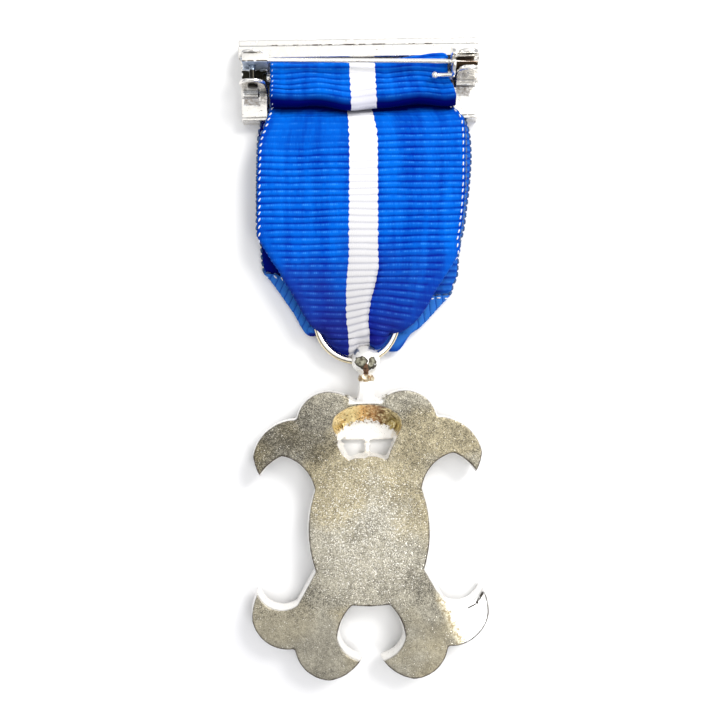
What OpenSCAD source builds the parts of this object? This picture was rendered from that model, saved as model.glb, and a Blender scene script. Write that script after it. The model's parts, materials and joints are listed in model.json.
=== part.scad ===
// An order cross lying face down, with its ribbon, suspension ring and brooch bar.
// The bar's long edge runs along X, the cross hangs towards -Y, and the backs face +Z.

/* [Brooch frame] */
// Width of the frame over its top rail
frame_w = 34.2; // [32:0.1:38]
// Height of the frame, from its lower edge to the top of the rail
frame_h = 11.3; // [10.5:0.1:13]
// Thickness of the two side plates
plate_t = 2; // [1.7:0.1:2.2]
// Width of the opening that the ribbon passes through
window_w = 26.2; // [26:0.1:27]
// Thickness of the soldered strip along the top rail
strip_t = 3; // [2.6:0.1:3.2]
// Radius of the bar that the ribbon is wrapped round
crossbar_r = 0.75; // [0.5:0.05:0.8]

/* [Hinge and pin] */
// Radius of the brooch pin
pin_r = 0.33; // [0.28:0.01:0.4]
// Height of the pin over the surface that the order lies on
pin_z = 6; // [5.9:0.05:6.3]
// Length of the pin from its knuckle to its tip
pin_length = 29.2; // [28.6:0.1:29.4]
// Length of the pin's point, which tapers
pin_point = 4.6; // [4:0.1:6]
// How far the pin leans towards the cross, in degrees
pin_lean = 1.2; // [0.8:0.1:1.4]
// Radius of the hinge rivet
rivet_r = 0.42; // [0.3:0.01:0.5]
// Running clearance of the moving pieces, on the radius
running = 0.05; // [0.03:0.01:0.08]

/* [Catch] */
// Outer radius of the turning catch's sleeve
sleeve_r = 1; // [0.95:0.01:1.05]
// Radius of the flange that carries the catch's lever
flange_r = 2.05; // [1.9:0.05:2.1]
// Length of the lever, without its knob
lever_length = 2.5; // [2:0.1:3]

/* [Ribbon] */
// Thickness of the ribbon's cloth
cloth_t = 1; // [1:0.05:1.1]
// Depth of the fold beside the middle stripe
pleat_depth = 0.3; // [0:0.05:0.35]

/* [Suspension ring] */
// Radius of the ring to the middle of its wire
ring_r = 5.66; // [5.6:0.02:5.8]
// Radius of the ring's wire
wire_r = 0.5; // [0.4:0.01:0.5]
// Radius of the drilled ball that the ring carries
ball_r = 2.05; // [1.95:0.01:2.1]

/* [Cross] */
// Thickness of the cross, without the boss on its front
cross_t = 2.8; // [2.2:0.1:2.8]
// Height of the front boss, which the cross lies on
boss_h = 1.4; // [1.2:0.1:1.6]
// How much wider the front is than the back on each side
draft = 0.33; // [0.1:0.01:0.4]
// Distance from the ball's centre to the middle of the oval
ball_to_oval = 23.87; // [23.5:0.01:24.2]
// Turn of the cross on its ring, in degrees
cross_turn = 0.4; // [0:0.1:1]
// Half width of the oval
oval_a = 8.46; // [8.3:0.01:8.6]
// Half height of the oval
oval_b = 10.63; // [10.5:0.01:10.8]

/* [Hidden] */
eps = 0.01;
gap = 0.03;

// Places are first measured from the frame's middle line and the ball's height,
// then everything is moved so that the origin is under the middle of the whole.
ball_x = 0.3;
ball_z = 2.6;
ring_x = -0.85;
ring_y = sqrt(pow(ring_r, 2) - pow(ball_x - ring_x, 2));
frame_top = 45.6;
frame_bottom = frame_top - frame_h;
window_bottom = frame_bottom + 1.3;
rail_y = 42.9;
side_w = frame_w - 0.4;
bottom_rail_t = 0.5;
// The strip on the top rail has a thin groove along it, with a lower step above the groove
groove_y = 44.6;
groove_w = 0.2;
groove_depth = 0.7;
step_y = 44.75;
step_depth = 0.4;
// How far a soldered piece is sunk into what carries it
sunk = 0.2;

// Left hinge: two upright ears with the pin's knuckle and a rivet between them
ear_r = 1.85;
ear_t = 0.45;
hinge_x = -14.86;
hinge_z = 5.1;
near_ear_y = 38.3;
far_ear_y = 42.35;
knuckle_y = 41.05;
knuckle_w = far_ear_y - 2 * gap - knuckle_y;
knuckle_left = 1.25;
knuckle_right = 2.2;
knuckle_low = 3.6;
knuckle_top = 6.6;
knuckle_round = 0.9;

// Right catch: a slotted seat with a turning sleeve
seat_x = 15.05;
seat_r = 1.65;
seat_z = 5.65;
seat_wall = 0.4;
seat_bore = sleeve_r + running;
seat_slot = 1.7;
sleeve_slot = 0.84;
sleeve_bore = pin_r + 0.17;
flange_x = 12.68;
flange_t = 0.42;
sleeve_end = 16.2;
lever_r = 0.28;
lever_arm = flange_r - lever_r;
lever_angle = 190;
knob_r = 0.48;

// The pin leans, so its height on the page at a place along the frame is worked out
pin_start_x = hinge_x + knuckle_right - sunk;
pin_start_y = 41.5;
tip_r = 0.05;
function pin_y(x) = pin_start_y - (x - pin_start_x) * tan(pin_lean);
catch_y = pin_y((flange_x + sleeve_end) / 2);

// The ribbon's layers, by the height of the middle of the cloth
front_z = 0.9;
back_z = 4;
band_z = 4.4;
bend_r = (back_z - front_z) / 2;
bend_z = (back_z + front_z) / 2;
bend_y = 0.6 + cloth_t / 2 + bend_r;
bar_y = 40.2;
bar_z = 2.3;
turn_r = 1.8;
curl_y = 36.9;
curl_z = 3.65;
curl_r = band_z - curl_z;
bend_reach = 4.75;
bend_hole = ring_r - wire_r - 0.2;
bend_blend = 6.5;
dent = 1.7;
dent_w = 1.85;
pleat_x = 1.8;
pleat_w = 1.1;
pleat_y = 13.5;
cloth_columns = 16;

// Columns of a ribbon row: place along Y, height, left edge, right edge
ALONG = 0;
HEIGHT = 1;
LEFT = 2;
RIGHT = 3;
front_rows = [
    [38.4, 0.68, -12.5, 12.5],
    [36.9, 0.65, -12.7, 12.7],
    [35.5, 1.15, -12.8, 12.8],
    [34.5, 1.2, -12.9, 12.9],
    [32.5, 0.95, -14, 14],
    [29, front_z, -14.6, 14.7],
    [24, front_z, -14.8, 14.9],
    [18, front_z, -14.5, 14.2],
    [14.5, front_z, -14.3, 13.6],
    [12, front_z, -13, 13.2],
    [9.5, front_z, -11, 11],
    [7, front_z, -9.2, 9],
    [5, front_z, -8, 7.6],
    [3.6, front_z, -6.6, 5.4]
];
back_rows = [
    [3, back_z, -7.5, 6.4],
    [4.4, back_z, -8, 7.2],
    [6, back_z, -8.6, 8.2],
    [8.1, back_z, -9.2, 8.8],
    [9.8, back_z, -9.8, 9.6],
    [11.4, back_z, -10.5, 10.8],
    [13.1, back_z, -11.4, 11.8],
    [14.6, back_z, -12.4, 12.9],
    [16.4, back_z, -13.6, 13.7],
    [17.6, back_z, -14.1, 14],
    [19.2, back_z, -14.6, 14.4],
    [22, back_z, -14.8, 14.9],
    [25, back_z, -14.95, 15.2],
    [28, back_z, -14.9, 15.1],
    [31, 3.9, -14.7, 14.9],
    [33, 3.55, -14.4, 14.5],
    [34.4, 3.05, -13.9, 13.6],
    [35.4, 2.45, -13.2, 12.9],
    [36.2, 1.95, -12.8, 12.7],
    [37.2, 1.75, -12.6, 12.6],
    [38.6, 1.75, -12.5, 12.5]
];
// The front layer's lower corners are folded back on themselves
left_flap = [[-14.2, 14.2], [-13.75, 12.6], [-10.4, 8], [-7.5, 4.3], [-7.6, 6.5], [-9.6, 9.6], [-11.4, 13]];
right_flap = [[13.5, 11.6], [12.8, 9.7], [8.9, 5.6], [4.9, 1.5], [5.6, 4.2], [7.8, 8], [10.4, 11.4]];
flap_low = 0.5;
flap_top = 1.9;

// Columns of an outline row: place, and how far the edge from it to the next row bulges
X = 0;
Y = 1;
BULGE = 2;
// Right half of the cross's back, from the notch at the stem round to the middle below
half_cross = [
    [1.9, 18.05, 0.35],
    [5.32, 19.5, 1.1],
    [9.79, 15.68, 1.4],
    [16.02, 10.84, 0.15],
    [15.22, 8.09, -0.3],
    [12.03, 10.7, -1.05],
    [7.45, 5.75, 0.95],
    [7.53, -5.6, 0],
    [10.2, -10.3, -1.4],
    [15.84, -8.72, 0.25],
    [16.6, -12.3, 1.5],
    [10.7, -16.35, 1.25],
    [5.88, -20.91, 0.5],
    [1.7, -18.3, -0.7],
    [4.85, -14.9, -0.45],
    [2.66, -10.42, 0.03],
    [0, -oval_b, 0]
];
// Right half of the opening behind the crown, from its top round to the oval
half_window = [
    [0, 17.55, 0.45],
    [4.3, 16.2, 0.2],
    [4.8, 14.4, 0],
    [2.57, 10.05, -0.17],
    [0, oval_b, 0]
];
// Right half of the crown, from its top down to its straight base
half_crown = [
    [0, 17.9, 0.5],
    [4.5, 16.3, 0.25],
    [4.9, 14.4, 0],
    [3.5, 12.4, 0]
];
step = 0.8;
rim_w = 0.75;
field_depth = 0.3;
// Slices of the cross from front to back: where each ends, as a share of its thickness, and its draft
slices = [[0.4, 1], [0.7, 0.6], [0.935, 0.25], [1, 0]];
boss_inset = 0.9;
boss_rim = 0.9;
crown_low = 0.15;
crown_foot = 0.5;
crown_slope = 1.5;
crown_wall = 0.55;
crown_floor = 0.65;
strut_w = 0.67;
strut_low = 0.6;
neck_r = 0.98;
neck_length = 3.15;
hole_play = 0.1;
stem_half = [[0.95, 21.2], [1.0, 19.6], [1.3, 18.4], [2.1, 17.7]];
stem_t = 1.8;

// Points on the arc from p to q that bulges by s to the left of the way, without q
function bulged(p, q, s) =
    let (
        chord = norm(q - p),
        mid = (p + q) / 2,
        side = [p[1] - q[1], q[0] - p[0]] / chord,
        n = max(1, round((chord + abs(s)) / step))
    )
    abs(s) < 0.02
        ? [for (i = [0:n - 1]) p + (q - p) * i / n]
        : let (
            r = (pow(chord / 2, 2) + s * s) / (2 * abs(s)),
            centre = mid - side * sign(s) * (r - abs(s)),
            from = atan2(p[1] - centre[1], p[0] - centre[0]),
            sweep = -sign(s) * 2 * asin(min(1, chord / 2 / r))
        )
        [for (i = [0:n - 1]) centre + r * [cos(from + sweep * i / n), sin(from + sweep * i / n)]];

// Half an outline from a table of places and bulges
function half_outline(rows) = [
    for (i = [0:len(rows) - 2])
        each bulged([rows[i][X], rows[i][Y]], [rows[i + 1][X], rows[i + 1][Y]], rows[i][BULGE]),
    [rows[len(rows) - 1][X], rows[len(rows) - 1][Y]]
];

// The half outline and its mirror image, clockwise, with points on the middle line once
function both_halves(half) = concat(
    half,
    [for (i = [len(half) - 1:-1:0]) if (half[i][0] > eps) [-half[i][0], half[i][1]]]
);

// An outline moved outwards by d, with mitred corners; a clockwise outline has its left outside
function grown(points, d) =
    let (n = len(points))
    [
        for (i = [0:n - 1])
            let (
                before = unit(points[i] - points[(i + n - 1) % n]),
                after = unit(points[(i + 1) % n] - points[i]),
                a = [-before[1], before[0]],
                b = [-after[1], after[0]]
            )
            points[i] + d * (a + b) / max(0.4, 1 + a * b)
    ];
function unit(v) = v / norm(v);

back_outline = both_halves(half_outline(half_cross));
front_outline = grown(back_outline, draft);

// Where a point of the cross lies once the cross hangs on its ring
function hung(p) = [
    ball_x + p[0] * cos(cross_turn) - (p[1] - ball_to_oval) * sin(cross_turn),
    p[0] * sin(cross_turn) + (p[1] - ball_to_oval) * cos(cross_turn)
];
cross_xs = [for (p = front_outline) hung(p)[0]];
cross_ys = [for (p = front_outline) hung(p)[1]];
middle_x = (max(max(cross_xs), frame_w / 2) + min(min(cross_xs), -frame_w / 2)) / 2;
middle_y = (frame_top + min(cross_ys)) / 2;

// Moves a piece to the frame that the whole is given in
module placed() {
    translate([-middle_x, -middle_y, 0]) children();
}

// An upright plate with a round top, standing across the frame
module ear(y, t) {
    translate([hinge_x, y + t, 0])
        rotate([90, 0, 0])
            linear_extrude(t)
                difference() {
                    union() {
                        translate([0, hinge_z]) circle(ear_r, $fn = 64);
                        translate([-ear_r, plate_t - sunk]) square([2 * ear_r, hinge_z - plate_t + sunk]);
                    }
                    translate([0, hinge_z]) circle(rivet_r + gap, $fn = 48);
                }
}

// A block with a round top and a slotted bore, which the catch turns in
module catch_seat() {
    wide = 2 * (seat_bore + seat_wall);
    difference() {
        translate([seat_x, catch_y + wide / 2, 0])
            rotate([90, 0, 0])
                linear_extrude(wide)
                    union() {
                        translate([0, seat_z]) circle(seat_r, $fn = 64);
                        translate([-seat_r, plate_t - sunk]) square([2 * seat_r, seat_z - plate_t + sunk]);
                    }
        translate([seat_x - 3, catch_y, pin_z])
            rotate([0, 90, 0])
                cylinder(h = 6, r = seat_bore, $fn = 64);
        translate([seat_x - 3, catch_y - seat_slot / 2, pin_z]) cube([6, seat_slot, 3]);
    }
}

module brooch_frame() color([0.82, 0.8, 0.76]) placed() {
    bar_end = 0.6;
    union() {
        difference() {
            translate([-side_w / 2, frame_bottom, 0]) cube([side_w, frame_h - sunk, plate_t]);
            translate([-window_w / 2, window_bottom, -1]) cube([window_w, rail_y - window_bottom, plate_t + 2]);
            translate([-window_w / 2, frame_bottom - 1, bottom_rail_t])
                cube([window_w, window_bottom - frame_bottom + 2, plate_t]);
        }
        difference() {
            translate([-frame_w / 2, rail_y, 0]) cube([frame_w, frame_top - rail_y, strip_t]);
            translate([-frame_w / 2 - 1, step_y, strip_t - step_depth])
                cube([frame_w + 2, frame_top - step_y + 1, step_depth + 1]);
            translate([-frame_w / 2 - 1, groove_y, strip_t - groove_depth])
                cube([frame_w + 2, groove_w, groove_depth + 1]);
        }
        translate([-window_w / 2 - bar_end, bar_y, bar_z])
            rotate([0, 90, 0])
                cylinder(h = window_w + 2 * bar_end, r = crossbar_r, $fn = 48);
        ear(near_ear_y, ear_t);
        ear(far_ear_y, ear_t);
        catch_seat();
    }
}

module hinge_rivet() color([0.6, 0.56, 0.5]) placed() {
    head = 0.22;
    head_r = rivet_r + 0.3;
    low = near_ear_y - gap;
    high = far_ear_y + ear_t + gap;
    translate([hinge_x, low - head, hinge_z])
        rotate([-90, 0, 0]) {
            cylinder(h = high - low + 2 * head, r = rivet_r, $fn = 48);
            cylinder(h = head, r = head_r, $fn = 48);
            translate([0, 0, high - low + head]) cylinder(h = head, r = head_r, $fn = 48);
        }
}

module brooch_pin() color([0.85, 0.83, 0.8]) placed() {
    difference() {
        union() {
            translate([hinge_x - knuckle_left, knuckle_y + knuckle_w, 0])
                rotate([90, 0, 0])
                    linear_extrude(knuckle_w)
                        knuckle_side();
            translate([pin_start_x, pin_start_y, pin_z])
                rotate([0, 0, -pin_lean])
                    rotate([0, 90, 0]) {
                        cylinder(h = pin_length - pin_point, r = pin_r, $fn = 32);
                        translate([0, 0, pin_length - pin_point])
                            cylinder(h = pin_point, r1 = pin_r, r2 = tip_r, $fn = 32);
                    }
        }
        translate([hinge_x, knuckle_y - 1, hinge_z])
            rotate([-90, 0, 0])
                cylinder(h = knuckle_w + 2, r = rivet_r + running, $fn = 48);
    }
}

// The knuckle seen along the rivet: a block with its outer lower corner rounded
module knuckle_side() {
    difference() {
        translate([0, knuckle_low]) square([knuckle_left + knuckle_right, knuckle_top - knuckle_low]);
        translate([-eps, knuckle_low - eps])
            difference() {
                square(knuckle_round);
                translate([knuckle_round, knuckle_round]) circle(knuckle_round, $fn = 48);
            }
    }
}

module catch_lever() color([0.8, 0.8, 0.82]) placed() {
    translate([0, catch_y, pin_z]) {
        difference() {
            union() {
                translate([flange_x, 0, 0]) rotate([0, 90, 0]) cylinder(h = flange_t, r = flange_r, $fn = 64);
                translate([flange_x, 0, 0])
                    rotate([0, 90, 0])
                        cylinder(h = sleeve_end - flange_x, r = sleeve_r, $fn = 64);
            }
            translate([flange_x - 1, 0, 0])
                rotate([0, 90, 0])
                    cylinder(h = sleeve_end - flange_x + 2, r = sleeve_bore, $fn = 48);
            translate([flange_x - 1, -sleeve_slot / 2, 0])
                cube([sleeve_end - flange_x + 2, sleeve_slot, 3]);
        }
        translate([flange_x + flange_t / 2, lever_arm * cos(lever_angle), lever_arm * sin(lever_angle)])
            rotate([0, -90, 0]) {
                cylinder(h = lever_length, r = lever_r, $fn = 32);
                translate([0, 0, lever_length]) sphere(knob_r, $fn = 48);
            }
    }
}

// The ribbon's side view as rows, from the hem inside the band round to the hidden end
ribbon_rows = concat(
    [[curl_y + 1, curl_z - curl_r, -12.4, 12.4]],
    [
        for (a = [-90:-30:-270])
            [curl_y + curl_r * cos(a), curl_z + curl_r * sin(a), -12.5, 13.2]
    ],
    [
        [38.3, band_z, -12.45, 12.9],
        [38.9, band_z, -12.4, 12.35]
    ],
    [
        for (a = [90:-22.5:-90])
            [bar_y + turn_r * cos(a), band_z - turn_r + turn_r * sin(a), -12.4, 12.3]
    ],
    front_rows,
    [
        for (a = [-90:-22.5:-270])
            [bend_y + bend_r * cos(a), bend_z + bend_r * sin(a), ring_x - bend_reach, ring_x + bend_reach]
    ],
    back_rows
);

function smooth(t) = let (u = min(1, max(0, t))) u * u * (3 - 2 * u);

// How far a place on the bend moves up to follow the ring's hole and to clear the ball
function bend_rise(x) =
    let (across = min(bend_reach, abs(x - ring_x)))
    bend_hole - sqrt(pow(bend_hole, 2) - across * across)
    + dent * exp(-pow((x - ball_x) / dent_w, 4));

// A point of the ribbon: row, place across it, and side of the cloth (1 or -1)
function cloth_point(i, u, side) =
    let (
        row = ribbon_rows[i],
        prev = ribbon_rows[max(0, i - 1)],
        next = ribbon_rows[min(len(ribbon_rows) - 1, i + 1)],
        way = unit([next[ALONG] - prev[ALONG], next[HEIGHT] - prev[HEIGHT]]),
        x = row[LEFT] + (row[RIGHT] - row[LEFT]) * u,
        rise = (1 - smooth((row[ALONG] - bend_y) / bend_blend)) * bend_rise(x),
        on_back = row[HEIGHT] > bend_z && row[ALONG] < 30 ? 1 : 0,
        pleat = on_back * (1 - smooth((row[ALONG] - pleat_y) / 5)) * smooth((row[HEIGHT] - bend_z) / bend_r)
            * pleat_depth * exp(-pow((x - pleat_x) / pleat_w, 2)),
        half = side * cloth_t / 2
    )
    [x, row[ALONG] + rise - way[1] * half, row[HEIGHT] - pleat + way[0] * half];

module ribbon_strip() {
    rows = len(ribbon_rows);
    w = cloth_columns + 1;
    skin = rows * w;
    points = [
        for (side = [1, -1], i = [0:rows - 1], j = [0:cloth_columns])
            cloth_point(i, j / cloth_columns, side)
    ];
    faces = [
        for (i = [0:rows - 2], j = [0:cloth_columns - 1])
            let (a = i * w + j, b = a + 1, c = a + w, d = c + 1)
            each [[a, c, b], [b, c, d], [skin + a, skin + b, skin + c], [skin + b, skin + d, skin + c]]
    ];
    edges = [
        for (i = [0:rows - 2], j = [0, cloth_columns])
            let (a = i * w + j, c = a + w)
            each j == 0
                ? [[a, skin + a, c], [c, skin + a, skin + c]]
                : [[a, c, skin + a], [c, skin + c, skin + a]]
    ];
    ends = [
        for (i = [0, rows - 1], j = [0:cloth_columns - 1])
            let (a = i * w + j, b = a + 1)
            each i == 0
                ? [[a, b, skin + a], [b, skin + b, skin + a]]
                : [[a, skin + a, b], [b, skin + a, skin + b]]
    ];
    polyhedron(points, concat(faces, edges, ends), convexity = 10);
}

module ribbon() color([0.06, 0.3, 0.85]) placed() {
    union() {
        ribbon_strip();
        for (flap = [left_flap, right_flap])
            translate([0, 0, flap_low]) linear_extrude(flap_top - flap_low) polygon(flap);
    }
}

module suspension_ring() color([0.88, 0.87, 0.84]) placed()
    translate([ring_x, ring_y, ball_z])
        rotate_extrude($fn = 96)
            translate([ring_r, 0]) circle(wire_r, $fn = 32);

// The flat shapes that the cross is built from, round the middle of its oval
module oval(a, b) {
    polygon([for (i = [0:71]) [a * cos(5 * i), b * sin(5 * i)]]);
}

module crown(d) {
    polygon(grown(both_halves(half_outline(half_crown)), d));
}

module window() {
    polygon(both_halves(half_outline(half_window)));
}

// A slice of the cross from low to high, with its outline grown by d
module slice(low, high, d) {
    translate([0, 0, low])
        linear_extrude(high - low)
            difference() {
                polygon(grown(back_outline, d));
                window();
            }
}

// The front slice has a raised rim round sunk fields
module front_slice() {
    translate([0, 0, boss_h])
        linear_extrude(field_depth)
            difference() {
                polygon(front_outline);
                window();
                difference() {
                    offset(delta = -rim_w) polygon(front_outline);
                    oval(oval_a, oval_b);
                    crown(crown_foot + 0.3);
                }
            }
}

// The oval boss on the front, which the cross lies on
module boss() {
    a = oval_a - boss_inset;
    b = oval_b - boss_inset;
    linear_extrude(field_depth)
        difference() {
            oval(a, b);
            oval(a - boss_rim, b - boss_rim);
        }
    translate([0, 0, field_depth]) linear_extrude(boss_h - field_depth) oval(a, b);
}

// The crown on the front is a shell, hollow towards the back
module crown_shell() {
    difference() {
        hull() {
            translate([0, 0, boss_h]) linear_extrude(0.2) crown(crown_foot);
            translate([0, 0, crown_low]) linear_extrude(0.15) crown(crown_foot - crown_slope);
        }
        hull() {
            translate([0, 0, boss_h]) linear_extrude(1) crown(-crown_wall);
            translate([0, 0, crown_floor]) linear_extrude(0.1) crown(-crown_wall - 1);
        }
    }
}

// The drilled ball on its neck, round the ball's centre
module ball() {
    difference() {
        union() {
            sphere(ball_r, $fn = 64);
            rotate([90, 0, 0]) cylinder(h = neck_length, r = neck_r, $fn = 48);
        }
        rotate([0, 0, -cross_turn])
            translate([ring_x - ball_x, ring_y, 0])
                rotate_extrude($fn = 96)
                    translate([ring_r, 0]) circle(wire_r + hole_play, $fn = 32);
    }
}

module stem() {
    half = len(stem_half);
    translate([0, 0, ball_z - stem_t / 2])
        linear_extrude(stem_t)
            polygon(concat(stem_half, [for (i = [half - 1:-1:0]) [-stem_half[i][X], stem_half[i][Y]]]));
}

module cross() color([0.68, 0.67, 0.6]) placed()
    translate([ball_x, 0, 0])
        rotate([0, 0, cross_turn]) {
            translate([0, -ball_to_oval, 0]) {
                front_slice();
                for (i = [0:len(slices) - 1])
                    slice(
                        boss_h + (i == 0 ? field_depth : cross_t * slices[i - 1][0]),
                        boss_h + cross_t * slices[i][0],
                        draft * slices[i][1]
                    );
                boss();
                crown_shell();
                translate([-strut_w / 2, oval_b - 1.2, strut_low]) cube([strut_w, 3, boss_h - strut_low + 0.1]);
                stem();
            }
            translate([0, 0, ball_z]) ball();
        }

brooch_frame();
hinge_rivet();
brooch_pin();
catch_lever();
ribbon();
suspension_ring();
cross();
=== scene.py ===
"""An order cross lying face down, with its ribbon, suspension ring and brooch bar."""

import json
import math

import bmesh
import bpy
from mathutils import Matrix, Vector, noise
from mathutils.bvhtree import BVHTree

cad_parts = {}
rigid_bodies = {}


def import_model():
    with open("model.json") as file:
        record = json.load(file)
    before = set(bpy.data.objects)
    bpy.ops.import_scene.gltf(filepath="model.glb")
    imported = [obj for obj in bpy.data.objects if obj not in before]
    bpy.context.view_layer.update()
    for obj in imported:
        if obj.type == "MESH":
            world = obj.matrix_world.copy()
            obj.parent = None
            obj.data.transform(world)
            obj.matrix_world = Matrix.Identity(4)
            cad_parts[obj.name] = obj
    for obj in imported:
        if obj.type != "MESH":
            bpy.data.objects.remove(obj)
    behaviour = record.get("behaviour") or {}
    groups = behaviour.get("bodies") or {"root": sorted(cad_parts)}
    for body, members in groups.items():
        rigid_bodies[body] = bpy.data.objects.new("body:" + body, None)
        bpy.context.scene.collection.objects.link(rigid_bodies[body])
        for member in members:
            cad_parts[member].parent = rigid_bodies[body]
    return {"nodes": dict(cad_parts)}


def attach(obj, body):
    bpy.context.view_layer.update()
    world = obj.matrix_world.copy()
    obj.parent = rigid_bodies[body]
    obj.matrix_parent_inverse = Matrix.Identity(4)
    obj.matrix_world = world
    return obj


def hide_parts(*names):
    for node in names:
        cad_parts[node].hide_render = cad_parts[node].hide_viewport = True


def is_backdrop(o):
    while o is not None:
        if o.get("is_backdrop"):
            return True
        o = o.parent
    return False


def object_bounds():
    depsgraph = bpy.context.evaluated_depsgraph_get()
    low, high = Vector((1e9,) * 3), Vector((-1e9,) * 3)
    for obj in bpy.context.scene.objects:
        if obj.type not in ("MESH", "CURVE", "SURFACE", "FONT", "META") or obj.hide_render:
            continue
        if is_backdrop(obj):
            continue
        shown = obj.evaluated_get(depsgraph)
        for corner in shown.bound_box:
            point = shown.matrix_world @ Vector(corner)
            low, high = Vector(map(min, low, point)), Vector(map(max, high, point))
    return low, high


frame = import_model()
cad_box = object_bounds()

MM = 0.001
# The source measures from the frame's middle line and the ball's height, and then moves everything by this
SHIFT_X = -0.19146
SHIFT_Y = -0.22313


def at(x, y, z):
    """A point of the source's own measures, in millimetres, as a place in the shared frame."""
    return Vector(((x + SHIFT_X) * MM, (y + SHIFT_Y) * MM, z * MM))


def smooth(t):
    t = min(1.0, max(0.0, t))
    return t * t * (3 - 2 * t)


def mix(a, b, t):
    return a + (b - a) * t


def new_object(name, data):
    made = bpy.data.objects.new(name, data)
    bpy.context.scene.collection.objects.link(made)
    return made


# Camera: lens and sensor, the place over the frame in millimetres, and the turn in degrees

LENS, SENSOR = 42.1, 36
CAMERA_X, CAMERA_HEIGHT, CAMERA_TURN = -0.485, 122, -0.8


def add_camera():
    data = bpy.data.cameras.new("camera")
    data.lens = LENS
    data.sensor_width = SENSOR
    data.clip_start = 0.01
    data.clip_end = 10
    camera = new_object("camera", data)
    camera.location = at(CAMERA_X, 0, CAMERA_HEIGHT)
    camera.rotation_euler = (0, 0, math.radians(CAMERA_TURN))
    bpy.context.scene.camera = camera


add_camera()


# Materials


class Nodes:
    """Adds nodes to a tree and joins them; a material's has its shader too."""

    def __init__(self, tree, shader=None):
        self.tree = tree
        self.shader = shader

    def link(self, value, socket):
        self.tree.links.new(value, socket)

    def shade(self, **sockets):
        """Joins values to the shader's own sockets."""
        for name, value in sockets.items():
            self.link(value, self.shader.inputs[name.replace("_", " ")])

    def add(self, kind, inputs=None, **settings):
        node = self.tree.nodes.new(kind)
        for name, value in settings.items():
            setattr(node, name, value)
        for key, value in (inputs or {}).items():
            if isinstance(value, bpy.types.NodeSocket):
                self.link(value, node.inputs[key])
            else:
                node.inputs[key].default_value = value
        return node

    def math(self, operation, a, b=0.0, clamp=False):
        return self.add("ShaderNodeMath", {0: a, 1: b}, operation=operation, use_clamp=clamp).outputs[0]

    def plus(self, a, b, clamp=False):
        return self.math("ADD", a, b, clamp)

    def minus(self, a, b, clamp=False):
        return self.math("SUBTRACT", a, b, clamp)

    def times(self, a, *others, clamp=False):
        for b in others:
            a = self.math("MULTIPLY", a, b, clamp)
        return a

    def most(self, a, *others):
        for b in others:
            a = self.math("MAXIMUM", a, b)
        return a

    def ramp(self, value, stops):
        node = self.add("ShaderNodeValToRGB", {0: value})
        elements = node.color_ramp.elements
        while len(elements) < len(stops):
            elements.new(0.5)
        for element, (place, colour) in zip(elements, stops):
            element.position = place
            element.color = (*colour, 1)
        return node.outputs[0]

    def blend(self, factor, a, b, mode="MIX"):
        a, b = ((*colour, 1) if isinstance(colour, tuple) else colour for colour in (a, b))
        inputs = {0: factor, 6: a, 7: b}
        return self.add("ShaderNodeMix", inputs, data_type="RGBA", blend_type=mode).outputs[2]

    def tinted(self, factor, colour, tint):
        """The colour times a tint, by a factor."""
        return self.blend(factor, colour, self.blend(1.0, colour, tint, "MULTIPLY"))

    def noise(self, vector, scale, detail=2.0, roughness=0.5):
        inputs = {"Vector": vector, "Scale": scale, "Detail": detail, "Roughness": roughness}
        return self.add("ShaderNodeTexNoise", inputs).outputs[0]

    def range(self, value, low, high, out_low=0.0, out_high=1.0):
        inputs = {0: value, 1: low, 2: high, 3: out_low, 4: out_high}
        return self.add("ShaderNodeMapRange", inputs, clamp=True).outputs[0]

    def wander(self, vector, scale, amount, detail=2.0, roughness=0.5):
        """Noise between minus and plus an amount."""
        return self.range(self.noise(vector, scale, detail, roughness), 0.3, 0.7, -amount, amount)

    def scaled(self, vector, scale):
        return self.add("ShaderNodeMapping", {"Vector": vector, "Scale": scale}).outputs[0]

    def bump(self, height, strength, distance):
        inputs = {"Height": height, "Strength": strength, "Distance": distance}
        return self.add("ShaderNodeBump", inputs).outputs[0]

    def dress(self, results, strength, distance):
        """Joins a group's colour, roughness and height to the shader."""
        bumps = self.bump(results["Height"], strength, distance)
        self.shade(Base_Color=results["Color"], Roughness=results["Roughness"], Normal=bumps)

    def attribute(self, name):
        return self.add("ShaderNodeAttribute", attribute_name=name).outputs["Fac"]

    def place(self):
        """The place in the shared frame, in metres."""
        return self.add("ShaderNodeTexCoord").outputs["Object"]

    def split(self, vector):
        return tuple(self.add("ShaderNodeSeparateXYZ", {0: vector}).outputs)

    def joined(self, x, y):
        return self.add("ShaderNodeCombineXYZ", {0: x, 1: y}).outputs[0]


GROUP_RESULTS = {"Color": "NodeSocketColor", "Height": "NodeSocketFloat", "Roughness": "NodeSocketFloat"}


def new_group(name, inputs):
    """A shader group: its nodes, what it is given, and a function that takes its results."""
    tree = bpy.data.node_groups.new(name, "ShaderNodeTree")
    for socket, value in inputs.items():
        kind = "NodeSocketColor" if isinstance(value, tuple) else "NodeSocketFloat"
        tree.interface.new_socket(socket, in_out="INPUT", socket_type=kind).default_value = value
    for socket, kind in GROUP_RESULTS.items():
        tree.interface.new_socket(socket, in_out="OUTPUT", socket_type=kind)
    n = Nodes(tree)
    given = n.add("NodeGroupInput").outputs
    end = n.add("NodeGroupOutput")

    def give(**results):
        for socket, value in results.items():
            n.link(value, end.inputs[socket])
        return tree

    return n, given, give


def new_material(name, **values):
    material = bpy.data.materials.new(name)
    material.use_nodes = True
    shader = material.node_tree.nodes["Principled BSDF"]
    for key, value in values.items():
        shader.inputs[key.replace("_", " ")].default_value = value
    return material, Nodes(material.node_tree, shader)


def set_material(piece, material):
    piece.data.materials.clear()
    piece.data.materials.append(material)


# Meshes


def only(piece):
    """Makes this the one selected and active object."""
    for other in bpy.context.view_layer.objects:
        other.select_set(False)
    piece.select_set(True)
    bpy.context.view_layer.objects.active = piece


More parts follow.
